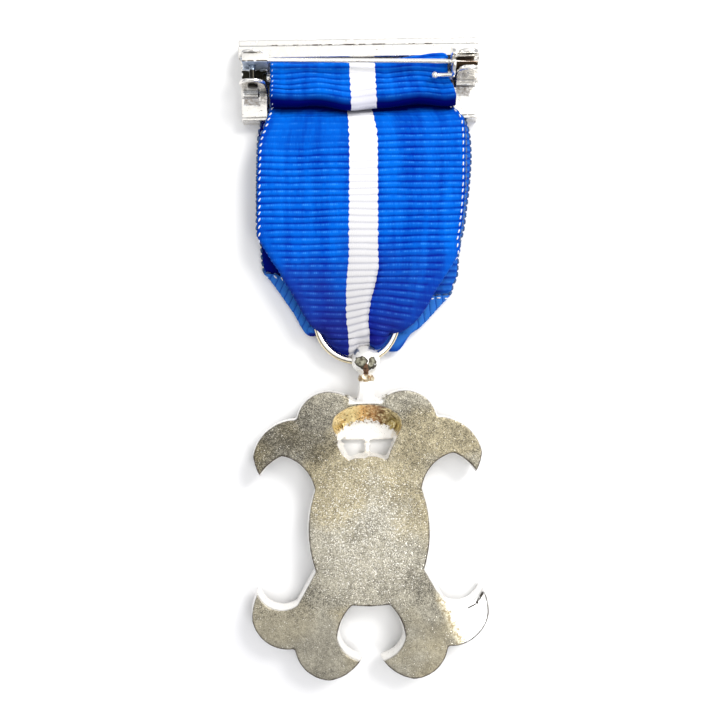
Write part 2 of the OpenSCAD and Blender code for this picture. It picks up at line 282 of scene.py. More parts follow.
def edit(piece):
    """Opens a piece with everything in it selected."""
    only(piece)
    bpy.ops.object.mode_set(mode="EDIT")
    bpy.ops.mesh.select_all(action="SELECT")


def face_outwards(piece):
    edit(piece)
    bpy.ops.mesh.normals_make_consistent(inside=False)
    bpy.ops.object.mode_set(mode="OBJECT")
    return piece


def add_modifier(piece, kind, **settings):
    """Adds a modifier and applies it."""
    only(piece)
    modifier = piece.modifiers.new(kind.lower(), kind)
    for name, value in settings.items():
        setattr(modifier, name, value)
    bpy.ops.object.modifier_apply(modifier=modifier.name)


def mesh_piece(name, points, faces, edges=()):
    mesh = bpy.data.meshes.new(name)
    mesh.from_pydata(points, edges, faces)
    mesh.update()
    return new_object(name, mesh)


def skin(rows, count, closed=True):
    """Faces between neighbouring rows of equally many points."""
    return [
        (i * count + j, i * count + (j + 1) % count, (i + 1) * count + (j + 1) % count, (i + 1) * count + j)
        for i in range(rows - 1)
        for j in range(count if closed else count - 1)
    ]


def roughen(piece, amount, size, weight=lambda co, normal: 1.0):
    """Moves the skin in and out by soft noise, in millimetres."""
    normals = [vertex.normal.copy() for vertex in piece.data.vertices]
    for vertex, normal in zip(piece.data.vertices, normals):
        place = vertex.co / MM / size
        value = noise.noise(place) + 0.5 * noise.noise(place * 2.1 + Vector((5, 2, 8)))
        vertex.co += normal * (amount * MM * value * weight(vertex.co, normal))
        vertex.co.z = max(0.0, vertex.co.z)


def store_attribute(piece, name, numbers):
    piece.data.attributes.new(name, "FLOAT", "POINT").data.foreach_set("value", numbers)


def set_attribute(piece, name, value):
    """A number on every point, from its place and its normal."""
    store_attribute(piece, name, [value(vertex.co, vertex.normal) for vertex in piece.data.vertices])


# Rays over each point, spread by the golden angle
RAYS = 14
GOLDEN_ANGLE = 2.399963


def shelter(piece, name, reach):
    """How closed in each point is by its own piece: the share of rays from it that hit the piece. The ribbon
    is darkened there as painted shade, the frame through its dark mask.
    """
    mesh = piece.data
    tree = BVHTree.FromPolygons([v.co for v in mesh.vertices], [p.vertices for p in mesh.polygons])
    rays = []
    for i in range(RAYS):
        turn, lift = i * GOLDEN_ANGLE, (i + 0.5) / RAYS
        flat = math.sqrt(1 - lift * lift)
        rays.append(Vector((flat * math.cos(turn), flat * math.sin(turn), lift)))

    def closed(place, normal):
        start = place + normal * 0.05 * MM
        turned = Vector((0, 0, 1)).rotation_difference(normal)
        hits = sum(1 for ray in rays if tree.ray_cast(start, turned @ ray, reach * MM)[0])
        return hits / RAYS

    set_attribute(piece, name, closed)


def finish_piece(piece, material, body, slot, *nodes):
    set_material(piece, material)
    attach(piece, body)
    if nodes:
        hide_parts(*nodes)


# Ribbon: a strip 30 mm wide that lies in ribs, with its corners folded over oblique creases

# Thickness, half widths, the ribs' spacing on the cloth and on the band, and their height, in millimetres
CLOTH_T = 0.42
HALF_W = 15.0
HALF_STRIPE = 2.1
RIB = 0.95
BAND_RIB = 0.72
RIB_H = 0.1
# Where each rib is sampled, from one groove to the next, and how high it stands there
RIB_PROFILE = [(0.0, 0.0), (0.12, 0.5), (0.3, 0.88), (0.5, 1.0), (0.7, 0.88), (0.88, 0.5)]
# How wide a column of the cloth's mesh is
COLUMN = 0.4
# The ring, the ball, and the rounds of the ribbon: at the ring, over the bar, and at the band's end
RING_X, RING_Z, RING_R, WIRE_R = -0.85, 2.6, 5.66, 0.5
BALL_X, BALL_Z, BALL_R = 0.3, 2.6, 2.05
RING_Y = math.sqrt(RING_R**2 - (BALL_X - RING_X) ** 2)
BEND_Y, BEND_Z, BEND_R = 2.65, 2.45, 1.55
BAR_Y, BAND_Z, TURN_R = 40.2, 4.4, 1.8
CURL_Y, CURL_Z, CURL_R = 36.9, 3.65, 0.75
CURL_STEPS, TURN_STEPS = 6, 8

# Columns: place along Y, height, left edge, right edge, left edge of the stripe, right edge of the stripe
FRONT_ROWS = [
    (38.4, 0.68, -12.5, 12.5, -1.6, 2.2),
    (36.9, 0.65, -12.9, 12.9, -1.6, 2.2),
    (35.5, 1.1, -13.6, 13.9, -1.6, 2.3),
    (34.3, 1.15, -14.1, 15.0, -1.6, 2.4),
    (32.4, 0.95, -14.6, 15.6, -1.6, 2.4),
    (29, 0.9, -14.8, 15.8, -1.6, 2.4),
    (25, 0.9, -14.9, 15.5, -1.6, 2.3),
    (22, 0.9, -14.9, 15.1, -1.7, 2.3),
    (18.6, 0.9, -14.6, 14.6, -1.8, 2.2),
    (16, 0.9, -14.4, 13.9, -1.8, 2.2),
    (13.4, 0.9, -14.1, 13.7, -1.9, 2.1),
    (11.4, 0.9, -12.5, 13.4, -1.9, 2.0),
    (9.1, 0.9, -10.9, 11.8, -2.0, 1.6),
    (6.9, 0.9, -9.4, 9.7, -2.1, 1.2),
    (4.9, 0.9, -8.1, 7.9, -2.1, 1.0),
    (4.0, 0.9, -7.45, 7.1, -2.1, 1.0),
    (3.3, 0.9, -6.9, 5.8, -2.1, 1.0),
]
BACK_ROWS = [
    (3.0, 4.0, -5.35, 3.65, -2.0, 0.9),
    (3.6, 4.0, -5.75, 4.1, -2.04, 0.8),
    (4.2, 4.0, -6.35, 4.75, -2.07, 0.7),
    (4.9, 4.0, -6.95, 5.6, -2.16, 0.63),
    (5.9, 4.0, -7.51, 6.7, -2.25, 0.72),
    (7.0, 4.0, -8.15, 7.6, -2.27, 0.89),
    (8.1, 4.0, -8.79, 8.4, -2.26, 1.07),
    (9.35, 4.0, -9.47, 9.15, -2.24, 1.41),
    (10.6, 4.0, -10.14, 10.05, -2.2, 1.74),
    (11.9, 4.0, -10.85, 11.0, -2.07, 1.97),
    (13.1, 4.0, -11.6, 11.85, -1.94, 2.21),
    (14.4, 4.0, -12.4, 12.7, -1.82, 2.23),
    (15.6, 4.0, -13.15, 13.3, -1.8, 2.24),
    (16.7, 4.0, -13.75, 13.6, -1.79, 2.26),
    (17.9, 4.0, -14.25, 13.87, -1.77, 2.28),
    (18.9, 4.0, -14.5, 14.0, -1.76, 2.29),
    (20.2, 4.0, -14.55, 14.2, -1.73, 2.31),
    (22.3, 4.0, -14.5, 14.41, -1.69, 2.33),
    (25.1, 4.0, -14.46, 14.57, -1.64, 2.36),
    (27.9, 4.0, -14.36, 14.63, -1.59, 2.39),
    (30.0, 3.95, -14.24, 14.66, -1.57, 2.4),
    (31.5, 3.85, -13.93, 14.66, -1.59, 2.37),
    (32.5, 3.72, -13.5, 14.6, -1.6, 2.2),
    (33.5, 3.45, -13.2, 14.5, -1.66, 2.02),
    (34.6, 2.95, -12.9, 13.8, -1.74, 1.78),
    (35.4, 2.45, -12.7, 13.2, -1.79, 1.61),
    (36.3, 1.95, -12.6, 12.7, -1.8, 1.5),
    (37.2, 1.75, -12.5, 12.6, -1.8, 1.5),
    (38.6, 1.75, -12.5, 12.5, -1.8, 1.5),
]


def arc_rows(centre, radius, first, last, steps, edges):
    """Rows of the ribbon on an arc round a centre, from the first angle to the last."""
    rows = []
    for i in range(steps + 1):
        a = math.radians(mix(first, last, i / steps))
        rows.append((centre[0] + radius * math.cos(a), centre[1] + radius * math.sin(a), *edges))
    return rows


RIBBON_ROWS = (
    [(CURL_Y + 1, CURL_Z - CURL_R, -12.4, 12.4, -1.2, 2.3)]
    + arc_rows((CURL_Y, CURL_Z), CURL_R, -90, -270, CURL_STEPS, (-12.5, 13.4, -1.2, 2.32))
    + [(38.3, BAND_Z, -12.45, 12.95, -1.27, 2.26), (38.9, BAND_Z, -12.4, 12.6, -1.3, 2.22)]
    + arc_rows((BAR_Y, BAND_Z - TURN_R), TURN_R, 90, -90, TURN_STEPS, (-12.4, 12.3, -1.37, 2.16))
    + FRONT_ROWS
    + arc_rows((BEND_Y, BEND_Z), BEND_R, -90, -270, TURN_STEPS, (-5.3, 3.6, -2.0, 0.95))
    + BACK_ROWS
)
# The first rows of the front, the bend at the ring and the back
FRONT_FIRST = 1 + (CURL_STEPS + 1) + 2 + (TURN_STEPS + 1)
BEND_FIRST = FRONT_FIRST + len(FRONT_ROWS)
BACK_FIRST = BEND_FIRST + TURN_STEPS + 1


def catmull(a, b, c, d, t):
    """A place on the smooth curve between b and c, for a point of any number of values."""
    return [
        q + 0.5 * t * (r - p + t * (2 * p - 5 * q + 4 * r - s + t * (3 * (q - r) + s - p)))
        for p, q, r, s in zip(a, b, c, d)
    ]


class Path:
    """The ribbon's rows as smooth functions of the length along the cloth, in millimetres."""

    def __init__(self, rows, fine=12):
        table = []
        last = len(rows) - 1
        for i in range(last):
            four = [rows[max(0, i - 1)], rows[i], rows[i + 1], rows[min(last, i + 2)]]
            table += [catmull(*four, k / fine) for k in range(fine)]
        table.append(list(rows[last]))
        self.table = table
        self.lengths = [0.0]
        for a, b in zip(table, table[1:]):
            self.lengths.append(self.lengths[-1] + math.hypot(b[0] - a[0], b[1] - a[1]))
        self.knots = [self.lengths[i * fine] for i in range(last + 1)]
        self.total = self.lengths[-1]

    def at(self, v):
        v = min(self.total, max(0.0, v))
        low, high = 0, len(self.lengths) - 1
        while high - low > 1:
            middle = (low + high) // 2
            if self.lengths[middle] <= v:
                low = middle
            else:
                high = middle
        t = (v - self.lengths[low]) / max(1e-9, self.lengths[high] - self.lengths[low])
        return [mix(a, b, t) for a, b in zip(self.table[low], self.table[high])]

    def normal(self, v):
        near = 0.12
        a, b = self.at(v - near), self.at(v + near)
        along, up = b[0] - a[0], b[1] - a[1]
        size = math.hypot(along, up)
        return -up / size, along / size


path = Path(RIBBON_ROWS)
V_FRONT = path.knots[FRONT_FIRST]
V_BEND = path.knots[BEND_FIRST]
V_BACK = path.knots[BACK_FIRST]
V_MIDDLE = (V_BEND + V_BACK) / 2
BAND_RIBS = int((V_FRONT - 2.5) / BAND_RIB)
RIBS = BAND_RIBS + int((path.total - BAND_RIBS * BAND_RIB) / RIB)


def rib_length(count):
    """The length along the cloth at a count of ribs, which lie closer on the band."""
    return min(count, BAND_RIBS) * BAND_RIB + max(0.0, count - BAND_RIBS) * RIB


# Each side's folds: where they start on the front and the back, and the creases' lean there, in degrees
FOLDS = {
    -1: {"front": 13.6, "back": 20.2, "lean_front": 32.0, "lean_back": -27.5, "roll": 0.3},
    1: {"front": 10.7, "back": 16.9, "lean_front": -42.0, "lean_back": 34.0, "roll": 0.4},
}
# How far a folded flap can reach, how wide the bend at the ring is, and the dent beside the ball
FLAP_REACH = 7.0
BEND_REACH = 4.55
BEND_HOLE = RING_R - WIRE_R - 0.2
DENT, DENT_X, DENT_W = 1.5, 0.05, 1.45


def side_edges(side, row):
    """A row's outer edge and its edge of the stripe, on one side."""
    return (row[2], row[4]) if side < 0 else (row[3], row[5])


def row_on(layer, y):
    rows = sorted(BACK_ROWS if layer == "back" else FRONT_ROWS)
    for a, b in zip(rows, rows[1:]):
        if a[0] <= y <= b[0]:
            return [mix(p, q, (y - a[0]) / (b[0] - a[0])) for p, q in zip(a, b)]
    return rows[0]


def scale_at_fold(side, layer):
    """How much the cloth is squeezed beside the stripe where its edge starts to fold."""
    edge, stripe = side_edges(side, row_on(layer, FOLDS[side][layer]))
    return abs(edge - stripe) / (HALF_W - HALF_STRIPE)


SCALES = {(side, layer): scale_at_fold(side, layer) for side in (-1, 1) for layer in ("front", "back")}


def fold_edge(side, v, row):
    """The cloth's own measure at the edge or crease of a row: the half width where nothing is folded."""
    if v < V_FRONT or (v < V_BEND and row[0] > FOLDS[side]["front"]):
        return HALF_W
    if v > V_BACK and row[0] > FOLDS[side]["back"]:
        return HALF_W
    edge, stripe = side_edges(side, row)
    squeeze = mix(SCALES[side, "front"], SCALES[side, "back"], smooth((v - V_BEND) / (V_BACK - V_BEND)))
    return min(HALF_W, HALF_STRIPE + abs(edge - stripe) / squeeze)


def crease_lean(side, v):
    fold = FOLDS[side]
    if v < V_MIDDLE:
        return math.radians(fold["lean_front"] * smooth((V_MIDDLE - v) / 4))
    return math.radians(fold["lean_back"] * smooth((v - V_MIDDLE) / 4))


def bend_rise(x):
    """How far a place on the bend moves up to follow the ring's hole and to clear the ball."""
    across = abs(x - RING_X)
    inside = min(BEND_REACH, across)
    rise = BEND_HOLE - math.sqrt(BEND_HOLE**2 - inside**2)
    return rise + DENT * math.exp(-(((x - DENT_X) / DENT_W) ** 4))


def on_path(x, v, depth):
    """A point over the ribbon's path, depth below the outer side of the layers."""
    rise, way = 0.0, v - V_MIDDLE
    quarter = V_BACK - V_MIDDLE if way > 0 else V_MIDDLE - V_BEND
    full = bend_rise(x)
    if abs(way) < quarter + full:
        rise = full
        tucked = 0.35 * min(1.0, full)
        if abs(way) < full:
            turned = tucked * abs(way) / full
        else:
            turned = tucked + (quarter - tucked) * (abs(way) - full) / quarter
        v = V_MIDDLE + math.copysign(turned, way)
    row = path.at(v)
    ny, nz = path.normal(v)
    lift = 0.5 - CLOTH_T / 2 - 0.04 - depth + 0.24 * smooth(1 - abs(way) / quarter)
    y, z = row[0] + rise + ny * lift, row[1] + nz * lift
    if way < 0:
        # Under the ring's wire the front layer sags past it
        sag = 3.0 * (1 - smooth((x - 4.6) / 2.8)) * smooth((x - 2.6) / 1.2) + 0.6 * smooth(-x - 6.0)
        y -= sag * smooth((1.75 - z) / 0.5) * (1 - smooth((y - 4.2) / 3.0))
    return [x, y, z]


def cloth_shape(w, v, x, point):
    """The soft waves, the fold beside the stripe and the sag of the ribs, at a place of the cloth."""
    y = point[1]
    if v > V_BACK and y < 36:
        # The back layer: a valley beside the stripe, long waves, and ribs that droop on both sides
        row = path.at(v)
        valley = row[5] + 0.15
        deep = 0.62 * smooth((16.5 - y) / 5) * smooth((y - 1.8) / 2)
        reach = 0.45 if x < valley else 1.5
        point[2] -= deep * math.exp(-(((x - valley) / reach) ** 2))
        point[2] += 0.09 * math.sin(x * 0.62 + y * 0.11 + 0.8) * smooth((34 - y) / 4)
        point[2] += 0.05 * math.sin(x * 1.35 - y * 0.2) * smooth((24 - y) / 8)
        lean = smooth((15 - y) / 12)
        if x < row[4]:
            tilt = 0.06 * (row[4] - x) - 0.28
        elif x < row[5]:
            tilt = -0.28 + 0.27 * (x - row[4])
        else:
            tilt = -0.28 + 0.27 * (row[5] - row[4]) - 0.21 * (x - row[5])
        point[1] += lean * tilt * smooth((y - 1.5) / 3)
    band = smooth((v - 1.0) / 1.5) * smooth((V_FRONT - 4.0 - v) / 2)
    if band > 0:
        # The band hangs down in its middle and swells to the right of it
        low = smooth((40.5 - y) / 4.5)
        sag = -0.75 * math.exp(-(((x - 0.6) / 4.6) ** 2)) - 0.1 * math.cos(x * 0.9 + 1.0)
        wave = 0.2 * math.sin(x * 0.62 - 2.1) * smooth((x - 2) / 3) + 0.1 * math.sin(x * 0.8 + 0.6)
        point[1] += band * (low * (sag + 0.1) + wave * smooth((41.5 - y) / 2))
        point[2] += band * 0.1 * math.sin(x * 0.7 + y * 1.3)
        swell = smooth((x - 4.0) / 6.5) * (1 - smooth((x - 11.8) / 0.9))
        point[1] += band * 0.9 * swell * smooth((point[2] - 3.1) / 0.6) * smooth((y - 40.6) / 1.1)
    # No rib lies quite straight
    drift = noise.noise(Vector((w * 0.16, v * 0.5, 3.1)))
    fine = noise.noise(Vector((w * 0.5, v * 0.9, 7.7)))
    point[1] += (0.16 * drift + 0.05 * fine) * (1 if v < V_FRONT or v > V_BACK else 0.3)
    return point


def cloth_point(w, v):
    """The place of the cloth's middle at w across it and v along it, in millimetres."""
    row = path.at(v)
    side = -1 if w < 0 else 1
    limit = fold_edge(side, v, row)
    edge, stripe = side_edges(side, row)
    beyond = abs(w) - limit
    if abs(w) <= HALF_STRIPE:
        x = mix(row[4], row[5], (w + HALF_STRIPE) / (2 * HALF_STRIPE))
        return cloth_shape(w, v, x, on_path(x, v, 0))
    if beyond <= 0:
        x = mix(stripe, edge, (abs(w) - HALF_STRIPE) / (limit - HALF_STRIPE))
        return cloth_shape(w, v, x, on_path(x, v, 0))
    # Beyond the crease the flap rolls over it and lies mirrored below
    lean = crease_lean(side, v)
    along = (math.sin(lean), math.cos(lean))
    out = (side * math.cos(lean), -side * math.sin(lean))
    a = side * beyond * along[0]
    b = FLAP_REACH * math.tanh(side * beyond * out[0] / FLAP_REACH)
    roll = FOLDS[side]["roll"]
    if b < math.pi * roll:
        across, depth = roll * math.sin(b / roll), roll * (1 - math.cos(b / roll))
    else:
        across, depth = math.pi * roll - b, 2 * roll
    x = edge + a * along[0] + across * out[0]
    u = v + a * along[1] + across * out[1]
    return cloth_shape(w, v, x, on_path(x, u, depth))


def rib_strength(w, v, point):
    """How clearly the ribs stand out: less on the rolled creases and under the band."""
    x, y = point[0], point[1]
    row = path.at(v)
    limit = fold_edge(-1 if w < 0 else 1, v, row)
    crease = abs(abs(w) - limit) if limit < HALF_W - 0.01 else 9
    strength = mix(0.25, 1, smooth((crease - 0.5) / 1.2))
    if v > V_BACK:
        start = 31.5 if x < row[4] else (34.2 if x < row[5] else 33.2)
        strength *= mix(0.22, 1, smooth((start - y + 0.08 * x) / 2.5))
    elif v < V_FRONT:
        strength *= 0.8
    if abs(w) < HALF_STRIPE:
        strength *= mix(1.15, 0.5, smooth((y - 8) / 12))
    return strength


def make_ribbon():
    places = [(i + share, height) for i in range(RIBS) for share, height in RIB_PROFILE]
    count = round(2 * HALF_W / COLUMN)
    widths = [-HALF_W + 2 * HALF_W * i / count for i in range(count + 1)]
    grid = [[Vector(cloth_point(w, rib_length(place))) for w in widths] for place, _ in places]
    rows, columns = len(grid), len(widths)
    points, plain, folded = [], [], []
    for i, (place, height) in enumerate(places):
        v = rib_length(place)
        up, down = grid[min(rows - 1, i + 1)], grid[max(0, i - 1)]
        limits = [fold_edge(side, v, path.at(v)) for side in (-1, 1)]
        in_front = smooth((v - V_FRONT) / 2) * (1 - smooth((v - V_MIDDLE) / 2))
        for j, w in enumerate(widths):
            right, left = grid[i][min(columns - 1, j + 1)], grid[i][max(0, j - 1)]
            normal = (right - left).cross(up[j] - down[j]).normalized()
            strength = rib_strength(w, v, grid[i][j])
            points.append(at(*(grid[i][j] + normal * RIB_H * (height - 0.6) * strength)))
            plain.append(1 - min(1.0, strength))
            beyond = smooth((abs(w) - limits[w > 0]) / 0.5)
            # Painted light and shade: left of the stripe the front layer is painted dark, right of it
            # lighter, and the folded flaps lighter still
            folded.append(in_front * mix(0.45 if w > HALF_STRIPE else -0.9, 1.0, beyond))
    cloth = mesh_piece("ribbon_cloth", points, skin(rows, columns, closed=False))
    layer = cloth.data.uv_layers.new(name="cloth")
    for loop in cloth.data.loops:
        i, j = divmod(loop.vertex_index, columns)
        layer.data[loop.index].uv = (widths[j], places[i][0])
    store_attribute(cloth, "flap", folded)
    store_attribute(cloth, "plain", plain)
    cloth.data.shade_smooth()
    add_modifier(cloth, "SOLIDIFY", thickness=CLOTH_T * MM, offset=0)
    return cloth


# How wide a thread of the weave is
THREAD_W = 0.25


def grosgrain_group():
    """The ribbon's weave from its own measures: colour with painted light and shade, height and roughness.
    """
    colours = {"Deep": (0.0, 0.016, 0.32, 1), "Light": (0.0, 0.145, 0.74, 1)}
    numbers = dict.fromkeys(("Shade", "Low_Shade", "Fade", "Flap", "Plain"), 0.0)
    n, given, give = new_group("grosgrain", {**colours, **numbers})
    uv = n.add("ShaderNodeUVMap", uv_map="cloth").outputs[0]
    w, rib, _ = n.split(uv)
    rib_number, phase = n.math("FLOOR", rib), n.math("FRACT", rib)
    crest = n.math("SINE", n.times(phase, math.pi))
    thread = n.times(n.plus(w, n.times(phase, 0.16)), 1 / THREAD_W)
    cell = n.joined(n.math("FLOOR", thread), rib_number)
    chance = n.add("ShaderNodeTexWhiteNoise", {0: cell}, noise_dimensions="3D").outputs[0]
    round_thread = n.math("SINE", n.times(n.math("FRACT", thread), math.pi))
    # The stripe's edge wavers from rib to rib
    waver = n.times(n.minus(n.noise(n.joined(0.0, rib), 1.3), 0.5), 0.35)
    reach = n.plus(n.math("ABSOLUTE", w), waver)
    reach = n.plus(reach, n.times(n.minus(crest, 0.6), -0.12))
    stripe = n.range(reach, HALF_STRIPE + 0.04, HALF_STRIPE - 0.04)
    # Blue: painted light on the crests, painted shade in the grooves, long bands of painted sheen and broad
    # patches
    painted_sheen_bands = n.range(n.noise(n.scaled(uv, (0.36, 0.035, 1)), 1.0), 0.4, 0.62)
    broad = n.noise(uv, 0.16)
    plain = given["Plain"]
    soft = n.plus(crest, n.times(n.minus(0.74, crest), plain))
    light = n.plus(n.times(soft, 0.78), n.times(chance, 0.1))
    light = n.plus(light, n.times(n.minus(broad, 0.8), 0.75))
    light = n.plus(light, n.times(painted_sheen_bands, 0.4), clamp=True)
    low = n.times(given["Low_Shade"], n.range(w, 4.0, 10.0, 1.0, 0.6))
    light = n.times(light, n.minus(1.0, n.times(low, 0.72)))
    blue = n.blend(light, given["Deep"], given["Light"])
    # Sparks where threads catch the light on a rib's lower side
    line = n.times(n.range(phase, 0.5, 0.6), n.range(phase, 0.82, 0.72))
    here = n.range(n.noise(n.joined(n.times(w, 0.8), rib_number), 1.0), 0.4, 0.62, 0.12, 1.0)
    spark = n.times(n.range(round_thread, 0.2, 0.95, 0.25, 1.0), line, here)
    spark = n.times(spark, n.range(chance, 0.0, 0.6, 0.6, 1.0), n.minus(1.0, n.times(plain, 0.7)))
    blue = n.blend(n.times(spark, 0.55), blue, (0.05, 0.36, 1.0))
    # Painted shade: the low end in the cross's shade, and the valley beside the stripe
    shaded = n.blend(0.09, n.blend(1.0, blue, (1.25, 0.36, 0.5), "MULTIPLY"), (0.11, 0.08, 0.3))
    blue = n.blend(low, blue, shaded)
    valley = n.times(n.range(w, 5.5, 2.4), n.range(w, 1.0, 1.8), low)
    blue = n.tinted(n.times(valley, 0.8), blue, (0.6, 0.3, 0.85))
    # Painted light on the folded corners, painted shade on the front layer in the dark, and painted shade
    # under the band's curl on its first ribs
    flap = n.blend(n.range(crest, 0.1, 0.5), (0.01, 0.07, 0.38), (0.034, 0.17, 0.56))
    blue = n.blend(n.times(given["Flap"], 0.85, clamp=True), blue, flap)
    blue = n.blend(n.range(given["Flap"], -0.1, -0.8), blue, (0.0, 0.004, 0.17))
    blue = n.blend(n.range(rib, 5.2, 4.0), blue, (0.0, 0.001, 0.11))
    # The white stripe: painted shade in its grooves, greyer towards the ring, and painted shade under the
    # band's curl
    groove = n.blend(given["Fade"], (0.82, 0.82, 0.85), (0.4, 0.4, 0.45))
    crown = n.blend(given["Fade"], (0.95, 0.95, 0.96), (0.62, 0.61, 0.625))
    white = n.blend(n.range(crest, 0.15, 0.85), groove, crown)
    white = n.tinted(n.range(rib, 7.0, 5.0), white, (0.76, 0.76, 0.84))
    cloth = n.blend(stripe, blue, white)
    # Painted shade where the cloth is closed in
    dark = n.blend(stripe, (0.0, 0.001, 0.1), (0.3, 0.3, 0.34))
    return give(
        Color=n.blend(given["Shade"], cloth, dark),
        Height=n.times(round_thread, crest),
        Roughness=n.range(chance, 0.0, 1.0, 0.45, 0.62),
    )


def ribbon_material():
    sheen = {"Sheen_Weight": 0.04, "Sheen_Roughness": 0.4, "Sheen_Tint": (0.1, 0.4, 1, 1)}
    material, n = new_material("ribbon_cloth", Specular_IOR_Level=0.02, **sheen)
    place = n.place()
    x, y, z = n.split(place)
    flap = n.attribute("flap")
    # Painted light: right of the ring the sagging front layer is painted lighter too
    sagging = n.times(n.range(x, 0.0030, 0.0036), n.range(z, 0.0024, 0.0019), n.range(y, 0.0075, 0.0055))
    flap = n.blend(sagging, flap, (1.0, 1.0, 1.0))
    open_side = n.minus(1.0, flap, clamp=True)
    # Painted shade where the cloth is closed in and at its low end, left off the lighter parts; the stripe
    # greys towards the ring
    values = {
        "Shade": n.times(n.range(n.attribute("shelter"), 0.2, 0.6), open_side),
        "Low_Shade": n.times(n.range(n.plus(y, n.wander(place, 180.0, 0.0025)), 0.0175, 0.0035), open_side),
        "Fade": n.range(y, 0.034, 0.008),
        "Flap": flap,
        "Plain": n.attribute("plain"),
    }
    weave = n.add("ShaderNodeGroup", values, node_tree=grosgrain_group()).outputs
    n.dress(weave, 0.35, 0.00006)
    return material


# A stitch from end to end: place along it and thickness, as shares of its length and radius
STITCH = [(-0.5, 0.35), (-0.28, 0.95), (0.28, 0.95), (0.5, 0.35)]
STITCH_SIDES = 5


def make_stitches(name, side, inset, lift, length, radius, slant):
    """One short slanted stitch for each rib, along an edge of the cloth."""
    points, faces = [], []
    for i in range(1, RIBS - 1):
        w, v = side * (HALF_W - inset), rib_length(i + 0.5)
        middle = Vector(cloth_point(w, v))
        if side > 0 and v < V_FRONT - 6 and middle.y < 40.4:
            continue
        size = 0.5 if v < V_FRONT - 3 else 1.0
        along = (Vector(cloth_point(w, v + 0.2)) - Vector(cloth_point(w, v - 0.2))).normalized()
        outward = (middle - Vector(cloth_point(w - side * 0.3, v))).normalized()
        up = (along.cross(outward) * -side).normalized()
        turn = slant + 0.25 * noise.noise(Vector((i * 1.7, side, lift)))
        axis = (along * math.cos(turn) + outward * math.sin(turn)).normalized()
        across = axis.cross(up).normalized()
        first = len(points)
        for share, wide in STITCH:
            for k in range(STITCH_SIDES):
                a = math.tau * k / STITCH_SIDES
                ring_place = across * math.cos(a) + up * math.sin(a)
                away = axis * (share * length) + ring_place * radius * wide
                points.append(at(*(middle + up * lift + away * size)))
        faces += [tuple(first + k for k in face) for face in skin(len(STITCH), STITCH_SIDES)]
        faces.append(tuple(first + k for k in reversed(range(STITCH_SIDES))))
        faces.append(tuple(range(len(points) - STITCH_SIDES, len(points))))
    thread = face_outwards(mesh_piece(name, points, faces))
    thread.data.shade_smooth()
    return thread


def thread_material(name, colour, other):
    material, n = new_material(name, Roughness=0.6, Sheen_Weight=0.2)
    twist = n.noise(n.place(), 2500.0)
    colour = n.blend(n.range(twist, 0.35, 0.65), colour, other)
    n.shade(Base_Color=colour, Normal=n.bump(twist, 0.3, 0.00004))
    return material


white_thread = thread_material("white_thread", (0.9, 0.9, 0.92), (0.6, 0.7, 0.85))
dark_thread = thread_material("dark_thread", (0.0, 0.03, 0.16), (0.02, 0.1, 0.25))
for side, label, slant in ((-1, "left", -0.45), (1, "right", 0.15)):
    white = make_stitches("selvedge_white_" + label, side, 0.32, 0.26, 0.56, 0.11, slant)
    dark = make_stitches("selvedge_dark_" + label, side, -0.02, 0.0, 0.8, 0.24, slant * 0.5)
    for thread, finish in ((white, white_thread), (dark, dark_thread)):
        finish_piece(thread, finish, "medal", "ribbon_cloth")

ribbon = make_ribbon()
shelter(ribbon, "shelter", 4.0)
set_material(ribbon, ribbon_material())
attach(ribbon, "medal")
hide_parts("ribbon")


# Metal: shared finishes

SILVER = (0.93, 0.91, 0.87)
DIRT_AND_SHADE = (0.05, 0.032, 0.018)


def cast_group():
    """Frosted cast metal: coarse and fine grain, warm and grey patches, and bright specks."""
    colours = {"Dark": (0.1, 0.092, 0.075, 1), "Light": (0.7, 0.655, 0.53, 1), "Speck": (1.0, 0.97, 0.88, 1)}
    numbers = {"Specks": 0.5, "Tone": 0.0, "Grain": 1.0, "Warm": 0.0}
    n, given, give = new_group("cast_grain", {**colours, **numbers})
    place = n.place()
    grain = n.noise(place, 3700.0, 2.0, 0.6)
    fine = n.noise(place, 7600.0, 2.0, 0.6)
    warm = n.noise(n.add("ShaderNodeVectorMath", {0: place, 1: (0.3, 0.1, 0.2)}).outputs[0], 110.0)
    tone = n.plus(n.range(grain, 0.3, 0.7, -0.25, 0.25), n.range(fine, 0.3, 0.7, -0.44, 0.44))
    tone = n.plus(n.times(tone, given["Grain"]), 0.47)
    tone = n.plus(tone, n.range(n.noise(place, 900.0), 0.32, 0.68, -0.07, 0.07))
    tone = n.plus(tone, n.wander(place, 230.0, 0.13, 3.0, 0.55))
    tone = n.plus(tone, given["Tone"], clamp=True)
    colour = n.blend(tone, given["Dark"], given["Light"])
    warmth = n.plus(n.range(warm, 0.44, 0.64), given["Warm"], clamp=True)
    colour = n.tinted(warmth, colour, (1.04, 0.98, 0.82))
    limit = n.minus(0.7, n.times(given["Specks"], 0.135))
    speck = n.times(n.minus(n.noise(place, 5400.0, 1.0), limit), 14.0, clamp=True)
    return give(
        Color=n.blend(speck, colour, given["Speck"]),
        Height=n.plus(grain, n.times(fine, 0.5)),
        Roughness=n.range(speck, 0.0, 1.0, 0.5, 0.25),
    )


